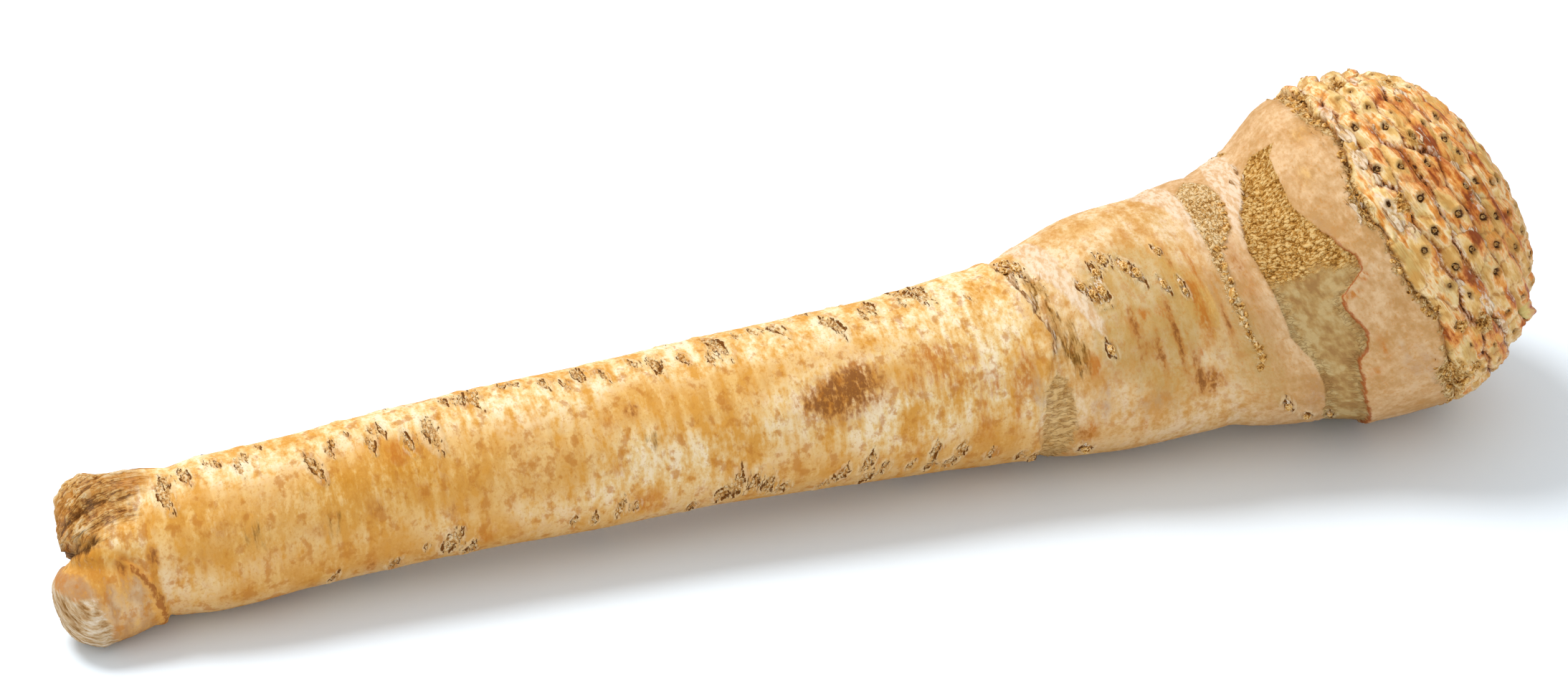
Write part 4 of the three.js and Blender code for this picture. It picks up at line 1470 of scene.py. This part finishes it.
# Each grain below also colours its region, darker where it is low, so these valleys carry painted shade.
for where, relief_grain, size in (
    (coat.product(bare, by_edge), wrinkle, 0.22),
    (in_crust, crust_lines, 0.3),
    (in_crust, crust_grain, 1.2),
    (in_crumb, crumb_lines, 0.35),
    (in_crumb, crumb_grain, 1.2),
    (in_lens, cork_grain, 1.0),
    (in_fibre, fibre_lines, 0.4),
    (in_fibre, fibre_grain, 1.2),
    (in_bed, bed_lines, 0.35),
    (in_bark, bark_grain, 2.0),
    (in_bark, bark_lines, 0.3),
    (in_end, end_grain, 2.0),
    (in_paper, paper_grain, 0.6),
    (olive, olive_grain, 1.4),
):
    centred = coat.math("SUBTRACT", relief_grain, 0.5)
    height = coat.math("ADD", height, coat.product(centred, where, size))
root_skin = coat.finish(coat.aged(coat.colour, SKIN_FILM), height, depth=0.45)
print("root_skin:", len(coat.tree.nodes), "nodes")

# %% [markdown]
# ## The crown's skin
# A leaf scar is smooth and creamy, with fine strands across it, and it blushes orange to rust towards
# the apex. Its crevices and pits are dark, with dry paper along some of them, and the trench's fibre
# runs up to it. The marks of the bundles say where all of this goes.

# %% Skin material of the crown
CROWN_FILM = "#fbf5ee"
coat = Finish("leaf_scar_skin", roughness=0.5, shine=0.12)
wash = coat.grain((2.6, 6), 3, 21, 0.5)
fine = coat.grain((0.6, 1.4), 4, 22, 0.62)
strands = coat.grain((0.5, 6), 3, 23, 0.55)
tone = coat.total((coat.mark("scar_tint"), 0.07), (wash, 0.75), (strands, 0.12), (fine, 0.1), rest=-0.02)
crown_stops = ((0.38, "#cfa158"), (0.45, "#e9c580"), (0.52, "#fbe8bc"), (0.58, "#f6cf8e"), (0.66, "#e09c4c"))
coat.colour = coat.ramp(tone, *crown_stops)
green_cloud = coat.cut(coat.grain((3.5, 8), 2, 24), 0.5, 0.62)
greenish = coat.product(green_cloud, coat.cut(coat.mark("share"), 0.9, 0.3))
coat.lay("#cdbb7c", greenish, 0.5)
# Painted shade: the crown's underside laid darker and browner.
coat.lay("#bd7d38", coat.mark("tan"), 0.25)
blush = coat.total((coat.mark("blush"), 1), (wash, 5), (strands, 2.0), (fine, 2.0), rest=-4.4)
for code, low, high in (("#df9030", 0.25, 0.9), ("#b4561e", 0.8, 1.5), ("#74301a", 1.3, 2.0)):
    coat.lay(code, coat.cut(blush, low, high), 0.75)
paper_colour = coat.ramp(fine, (0.4, "#a88258"), (0.48, "#d0b492"), (0.56, "#f0e2d0"))
on_paper = coat.total((coat.mark("paper"), 1), (fine, 3), (strands, 2), rest=-2.5)
coat.lay(paper_colour, coat.cut(on_paper, -0.4, 0.4), 0.7)
coat.lay("#b0702e", coat.total((coat.creases((1.3, 8.0), 25, 0.03), -1), rest=1.0), 0.35)
edge = coat.total((coat.mark("cell"), 1), (fine, 2.4), (strands, 2), rest=-2.2)
coat.lay("#9a5418", coat.cut(edge, 0.9, 0.1), 0.85)
coat.lay("#4a260a", coat.cut(edge, 0.14, -0.03))
coat.lay("#a86c34", coat.cut(coat.ragged("parting", fine, 2.4), 0.35, 0.0), 0.5)
hole = coat.ragged("hole", fine, 1.2)
coat.lay("#966e34", coat.cut(hole, -0.9, -0.1), 0.55)
coat.lay("#54341a", coat.cut(hole, -0.12, 0.08))
coat.lay(coat.ramp(fine, (0.4, "#7d5020"), (0.5, "#c89a52"), (0.58, "#f0d59c")), coat.cut(hole, 0.25, 0.4))
in_fibre, _, fibre_grain = lay_fibre(coat)
tufts = coat.product(coat.math("SUBTRACT", fibre_grain, 0.5), in_fibre)
height = coat.total((fine, 0.4), (strands, 0.6), (tufts, 1.5))
leaf_scar_skin = coat.finish(coat.aged(coat.colour, CROWN_FILM), height, depth=0.4)

for zone, material in ((shank, root_skin), (flare, root_skin), (crown, leaf_scar_skin)):
    zone.data.materials.append(material)
print("leaf_scar_skin:", len(coat.tree.nodes), "nodes")

# %% [markdown]
# ## Small things that stand on the skin
# The skin is done, but a root also carries loose things: corky knots, crumbs, flakes, fibres, the cut
# ends of bundles and one live bud. Each kind is one piece, gathered from copies of a small template
# shape. To set a copy down, a ray is sent at the finished skin from outside, and a frame is made where
# it lands: X along the root, Y round it and Z outwards.

# %% Standing on the finished skin
graph = bpy.context.evaluated_depsgraph_get()
skin_trees = [BVHTree.FromObject(zone, graph) for zone in zones.values()]
DROP = 12  # how far outside the plain root the rays start, in millimetres


def stand_on(along, turn, roll=0.0):
    """A frame on the finished skin at a place of the map, rolled about its outward axis in degrees."""
    ahead = Vector(on_root(along + 0.5, turn) - on_root(along - 0.5, turn)).normalized()
    beside = Vector(on_root(along, turn + 1) - on_root(along, turn - 1))
    outward = beside.cross(ahead).normalized()
    start = (Vector(on_root(along, turn)) + outward * DROP) * MM
    hits = [tree.ray_cast(start, -outward, 2 * DROP * MM) for tree in skin_trees]
    reached = [(hit[3], hit[0]) for hit in hits if hit[0] is not None]
    point = min(reached)[1] if reached else start - outward * DROP * MM
    axes = Matrix((ahead, outward.cross(ahead), outward)).transposed().to_4x4()
    return Matrix.Translation(point) @ axes @ Matrix.Rotation(math.radians(roll), 4, "Z")


print("top of the bulge, mm:", [round(part / MM, 1) for part in stand_on(210, 90).translation])


# %% The Piece class
class Piece:
    """Many small shapes gathered into one mesh, with the marks that its material reads."""

    def __init__(self, name, slot):
        self.name, self.slot = name, slot
        self.shape = bmesh.new()
        self.relief = self.shape.verts.layers.float.new("relief")
        self.tone = self.shape.verts.layers.float.new("tone")
        self.copies = 0

    def add(self, template, spot, bend, tone=0.0):
        """Adds a template's copy. bend turns each of its points into a place in mm and a relief."""
        first = len(self.shape.verts)
        self.shape.from_mesh(template)
        self.shape.verts.ensure_lookup_table()
        for vert in self.shape.verts[first:]:
            place, vert[self.relief] = bend(vert.co)
            vert[self.tone] = tone
            vert.co = spot @ (place * MM)
        self.copies += 1

    def done(self, material):
        """Makes the object, with the straightened places that the finishes read."""
        bmesh.ops.recalc_face_normals(self.shape, faces=self.shape.faces)
        mesh = mesh_from(self.shape, self.name)
        piece = in_scene(self.name, mesh)
        straight = mesh.attributes.new("straight", "FLOAT_VECTOR", "POINT")
        points = np.array([vert.co[:] for vert in mesh.vertices]) / MM
        places = straightened(*root_map(points)) / CM
        straight.data.foreach_set("vector", places.astype(np.float32).ravel())
        mesh.shade_smooth()
        mesh.materials.append(material)
        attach(piece, BODY)
        print(self.name, "copies:", self.copies, "faces:", len(mesh.polygons))


def template(name, build):
    """A small mesh to copy, made by a function that fills a bmesh."""
    shape = bmesh.new()
    build(shape)
    return mesh_from(shape, name)


# %% Templates
def subdivided(shape, axis, cuts):
    """Cuts the edges of a bmesh that run along an axis."""
    chosen = [edge for edge in shape.edges if abs(edge.verts[0].co[axis] - edge.verts[1].co[axis]) > 0.1]
    bmesh.ops.subdivide_edges(shape, edges=chosen, cuts=cuts)


def build_plate(shape):
    """A flat, closed plate with enough edges to curl."""
    bmesh.ops.create_cube(shape, size=2)
    subdivided(shape, 0, 3)
    subdivided(shape, 1, 6)


def build_strand(shape):
    """A thin closed tube of length 1 along Z, with enough edges to bend."""
    bmesh.ops.create_cone(shape, cap_ends=True, segments=4, radius1=1, radius2=1, depth=1)
    subdivided(shape, 2, 4)
    bmesh.ops.translate(shape, verts=shape.verts, vec=(0, 0, 0.5))


def build_stub(shape):
    """The hollowed end of a cut vein bundle, of radius 1 and height 1."""
    bmesh.ops.create_cone(shape, cap_ends=True, segments=8, radius1=1.1, radius2=0.85, depth=1)
    top = max(shape.faces, key=lambda face: face.calc_center_median().z)
    bmesh.ops.inset_individual(shape, faces=[top], thickness=0.3)
    bmesh.ops.translate(shape, verts=top.verts, vec=(0, 0, -0.45))


plate = template("plate", build_plate)
strand = template("strand", build_strand)
stub = template("stub", build_stub)
lump = template("lump", lambda shape: bmesh.ops.create_icosphere(shape, subdivisions=2, radius=1))
knob = template("knob", lambda shape: bmesh.ops.create_icosphere(shape, subdivisions=4, radius=1))
print("templates:", [(mesh.name, len(mesh.polygons)) for mesh in (plate, strand, stub, lump, knob)])

# %% [markdown]
# ## Knots and crumbs
# Where a leaf or a side root died back, cork closed the wound as a crumpled button. The same cork lies
# as loose crumbs along the trench, in clusters on the crusty knots and down the narrow crust. Both
# are balls that a noise crumples. The few buttons have 1,280 faces each, and a crumb has only 80,
# because there are hundreds.

# %% Knots and crumbs
def crumpled(size, sunk, seed, fold=0.35, scale=1.3):
    """A bend that crumples a ball: size is its half lengths in mm, sunk how deep it sits."""
    size = Vector(size)
    shift = Vector((seed * 3.1, seed * 1.7, 0))

    def bend(point):
        crease = 1 - 2 * abs(noise.fractal(point * scale + shift, *FRACTAL, 2))
        place = point * (1 + fold * (crease - 0.5))
        return Vector((place.x * size.x, place.y * size.y, place.z * size.z - sunk)), crease - 0.4

    return bend


sprinkle = random.Random(23)
cork = Piece("root_scars", "cork_scar")
for number, (along, turn, half) in enumerate(BULGE_KNOTS):
    spot = stand_on(along, turn, BULGE_LEAN)
    size = (0.6 * half, 1.0 * half, 0.6 * half)
    cork.add(knob, spot, crumpled(size, 0.1, number, fold=0.28, scale=1.9), tone=1)


def scatter(piece, along, turn, spread, count, sizes, tone=0.0):
    """Drops crumbs round a place of the map. spread is in mm, along the root and round it."""
    for _ in range(count):
        at = along + sprinkle.gauss(0, spread[0])
        mm_per_degree = math.radians(1) * max(4, half_across(at, turn))
        aside = turn + sprinkle.gauss(0, spread[1]) / mm_per_degree
        size = sprinkle.uniform(*sizes)
        shape = (size * sprinkle.uniform(0.7, 1.4), size * sprinkle.uniform(0.7, 1.4), 0.7 * size)
        bend = crumpled(shape, 0.2 * size, sprinkle.random() * 40, fold=0.6)
        piece.add(lump, stand_on(at, aside, sprinkle.uniform(0, 180)), bend, tone)


TRENCH_STEPS = 150
for step in range(TRENCH_STEPS):
    turn = step * 360 / TRENCH_STEPS
    width = float(round_line(TRENCH_WIDTH, turn))
    line = float(round_line(TRENCH, turn))
    count = 2 if sprinkle.random() < width / 2 else 1
    if sprinkle.random() < 0.25 + width / 2:
        scatter(cork, line - 0.4, turn, (0.4 * width + 0.2, 0.8), count, (0.3, 0.75))
for along, turn, size in CRUSTY_KNOTS:
    scatter(cork, along, turn, (0.42 * size, 0.5 * size), 9, (0.35, 0.9))
for turn in range(100, 184, 3):
    line = float(round_line(edge_of(REGIONS["crumb"][0], 2), turn))
    scatter(cork, line - 0.7, turn, (0.3, 0.4), 1, (0.45, 0.85), tone=0.6)

coat = Finish("cork", roughness=0.7)
cork_grain = coat.grain((0.6, 0.6), 4, 31, 0.7)
# Painted shade: the cork is darker in the valleys of its crumples.
cork_tone = coat.total((coat.mark("relief"), 0.55), (cork_grain, 2.0), (coat.mark("tone"), 0.12), rest=-0.75)
cork_stops = ((0.0, "#5a320c"), (0.25, "#a8702c"), (0.55, "#dcae64"), (0.95, "#fdeccb"))
cork.done(coat.finish(coat.ramp(cork_tone, *cork_stops)))

# %% [markdown]
# ## Cut ends of the bundles
# In most leaf scars the vein bundle's cut end still stands in its pit, as a small hollow stub.

# %% Bundle ends
SMALLEST_BUNDLE = 0.65
STUB_RADIUS = 0.42  # of a bundle whose own number is 1
STUB_HEIGHT = 0.9


def upright(radius):
    """A bend that only sizes a stub and sinks its foot."""

    def bend(point):
        return Vector((point.x * radius, point.y * radius, point.z * STUB_HEIGHT - 0.1)), point.z

    return bend


cores = Piece("leaf_scar_cores", "leaf_scar_core")
for along, turn, size in places.tolist():
    if size > SMALLEST_BUNDLE and along > 264:
        cores.add(stub, stand_on(along, turn, sprinkle.uniform(0, 90)), upright(STUB_RADIUS * size))
coat = Finish("bundle_end", roughness=0.6)
core_tone = coat.total((coat.mark("relief"), 0.5), (coat.grain((0.4, 0.4), 3, 41), 1.0), rest=-0.2)
cores.done(coat.finish(coat.ramp(core_tone, (0.0, "#5a3410"), (0.4, "#b58344"), (0.7, "#e8c88e"))))

# %% [markdown]
# ## Papery edges
# Dead skin peels from the crevices and from the steps of the flare as thin curled paper. A flake is a
# closed plate: one long edge is tucked under the skin, and the other lifts, waves and thins out. Each
# place gets two flakes that overlap.

# %% Papery edges
MORE_FLAKES = [
    # along, turn, half length along, half length round
    (187.6, 98, 0.8, 4), (188.8, 118, 0.7, 4), (190.6, 138, 0.6, 4), (248.6, 84, 0.7, 4), (246, 96, 0.6, 3),
    (263.4, 131, 1.1, 2.6), (261, 133, 0.9, 2), (286.4, 142, 0.8, 2), (279.5, 160, 0.7, 1.6),
    (283.8, 124, 0.6, 2), (288.6, 96, 0.7, 2.4), (292.6, 120, 0.6, 2.6), (270.6, 118, 0.9, 2.2),
    (269.6, 128, 0.8, 1.8), (276.8, 108, 0.6, 2.6), (281.6, 170, 0.8, 2), (270.4, 171, 0.7, 2.2),
]
TUCK = 0.35  # how deep a flake's foot sits in the skin, in mm


def peeled(width, length, lift, phase):
    """A bend that curls a plate up from its tucked edge. All but phase are in mm."""

    def bend(point):
        narrow = 1 - 0.75 * abs(point.y) ** 2.2
        wave = math.sin(2.3 * point.y + phase) * 0.5 + math.sin(5.1 * point.y + 2 * phase) * 0.15
        free = (point.x + 1) / 2
        height = -TUCK + lift * free**1.4 * (1 + 0.7 * wave) + 0.07 * point.z * (1.3 - free)
        across = (point.x + 0.3 * wave * free) * width * narrow
        return Vector((across, point.y * length, height)), wave + 0.6 * free

    return bend


papers = Piece("papery_edges", "dry_skin")
for along, turn, half_along, half_round in FLAKES + MORE_FLAKES:
    for _ in range(2):
        width = half_along * sprinkle.uniform(0.7, 1.2)
        length = half_round * sprinkle.uniform(0.55, 0.9)
        curl = peeled(width, length, sprinkle.uniform(0.2, 0.6), sprinkle.uniform(0, 9))
        aside = turn + sprinkle.uniform(-3, 3)
        spot = stand_on(along + sprinkle.uniform(-0.6, 0.6), aside, sprinkle.uniform(-14, 14))
        papers.add(plate, spot, curl, tone=float(along < RIM))
coat = Finish("dry_paper", roughness=0.65)
paper_strands = coat.grain((0.5, 3.5), 4, 51, 0.6)
paper_tone = coat.total(
    (coat.mark("relief"), 0.15), (paper_strands, 2.5), (coat.mark("tone"), -0.25), rest=-0.85
)
paper_colour = coat.ramp(paper_tone, (0.1, "#8c6238"), (0.35, "#bf9c72"), (0.65, "#e4ceb2"))
papers.done(coat.finish(paper_colour, paper_strands, depth=0.3))

# %% [markdown]
# ## Dry fibres
# Along the trench and round the crusty knots the veins of old leaves stand up as short, bent fibres.

# %% Dry fibres
TUFTS = [
    # along, turn, spread in mm, how many
    (269, 80, 1.6, 14), (278, 79, 1.2, 10), (260.8, 199, 2.0, 16), (271.2, 190, 1.4, 12), (282, 120, 0.7, 9),
    (282.4, 123, 0.5, 6), (264, 126, 1.4, 12), (263, 134, 1.2, 8), (263, 170, 1.4, 10), (265, 206, 1.2, 8),
    (189, 87, 1.3, 10), (191, 106, 1.0, 5), (270.6, 139, 0.7, 8), (262.6, 150, 1.0, 7),
    (264, 300, 2, 12), (281, 250, 1.4, 8), (266, 30, 1.6, 12), (266, 100, 1.6, 8),
]
FIBRE_ROLLS = (60, 90, 120, 240, 270, 300)  # degrees: the fibres lie mostly round the root
FIBRE_FOOT = 0.25  # how deep a fibre starts, in mm


def bent(length, lean, curl, thick):
    """A bend that leans a strand over, thins it and curls it sideways."""

    def bend(point):
        way = point.z * length
        slim = thick * (1 - 0.7 * point.z)
        across = way * math.sin(lean) + point.x * slim
        out = way * math.cos(lean) - FIBRE_FOOT + point.x * slim * 0.5
        return Vector((across, point.y * slim + curl * point.z**2, out)), point.z

    return bend


fibres = Piece("dry_fibres", "dry_fibre")
for along, turn, spread, count in TUFTS:
    for _ in range(count):
        length = sprinkle.uniform(1.2, 2.8)
        lean = sprinkle.uniform(0.5, 1.25)
        bow = bent(length, lean, sprinkle.uniform(-0.6, 0.6), sprinkle.uniform(0.07, 0.14))
        at = along + sprinkle.gauss(0, spread * 0.5)
        aside = turn + sprinkle.gauss(0, spread) * 2
        fibres.add(strand, stand_on(at, aside, sprinkle.choice(FIBRE_ROLLS)), bow)
coat = Finish("dry_fibre", roughness=0.7)
fibre_tone = coat.total((coat.mark("relief"), 0.5), (coat.grain((1.5, 1.5), 2, 61), 0.8), rest=-0.2)
fibres.done(coat.finish(coat.ramp(fibre_tone, (0.1, "#5e3812"), (0.4, "#b58038"), (0.8, "#e6c078"))))

# %% [markdown]
# ## The live bud
# One bud has broken on the near side of the crown: a pointed core in three half-open scales, green at
# its foot and flushed pink at its tip. Each is the same ball, drawn out to a point with soft ribs.

# %% The bud
BUD_FOOT = (284.0, -24.8, 28.5)
BUD_TOWARDS = (0.79, -0.61, 0.12)
BUD_SCALES = [
    # sideways shift x and y, turn about the bud's axis, radius, length, all in mm but the turn
    (0, 0, 0, 2.0, 4.4),
    (0.4, 0.4, 40, 2.2, 3.6),
    (-0.5, -0.2, 160, 2.1, 2.8),
    (-0.1, 0.6, 250, 1.9, 2.2),
]
BUD_HOOK = 0.3  # how far a scale's tip leans over, in mm


def drawn_out(shift, radius, length):
    """A bend that draws a ball out to a ribbed, hooked scale, standing on its foot."""

    def bend(point):
        share = (point.z + 1) / 2
        ribs = 1 + 0.07 * math.cos(7 * math.atan2(point.y, point.x) + 3 * share)
        slim = radius * ribs * (1 - 0.55 * share**1.6)
        across = point.x * slim + shift[0] + BUD_HOOK * share**2
        return Vector((across, point.y * slim + shift[1], share * length)), share

    return bend


bud = Piece("crown_bud", "crown_bud")
bud_axis = Vector(BUD_TOWARDS).to_track_quat("Z", "Y").to_matrix().to_4x4()
bud_foot = Matrix.Translation(Vector(MAP_START + np.array(BUD_FOOT)) * MM)
for *shift, roll, radius, length in BUD_SCALES:
    spot = bud_foot @ bud_axis @ Matrix.Rotation(math.radians(roll), 4, "Z")
    bud.add(knob, spot, drawn_out(shift, radius, length))
coat = Finish("live_bud", roughness=0.4, shine=0.3)
bud_tone = coat.total((coat.mark("relief"), 1.0), (coat.grain((1.2, 1.2), 3, 71), 0.8), rest=-0.4)
bud_stops = ((0.0, "#a08a48"), (0.35, "#c6b468"), (0.65, "#d8c078"), (0.85, "#cc9666"), (1.0, "#a86450"))
bud.done(coat.finish(coat.ramp(bud_tone, *bud_stops)))

# %% [markdown]
# ## Sizes
# The imported solid's box is written down once more. Everything here lies on the skin or a little in
# it.

# %% Sizes
print("CAD box, mm:", [round(side / MM, 1) for side in cad_high - cad_low])
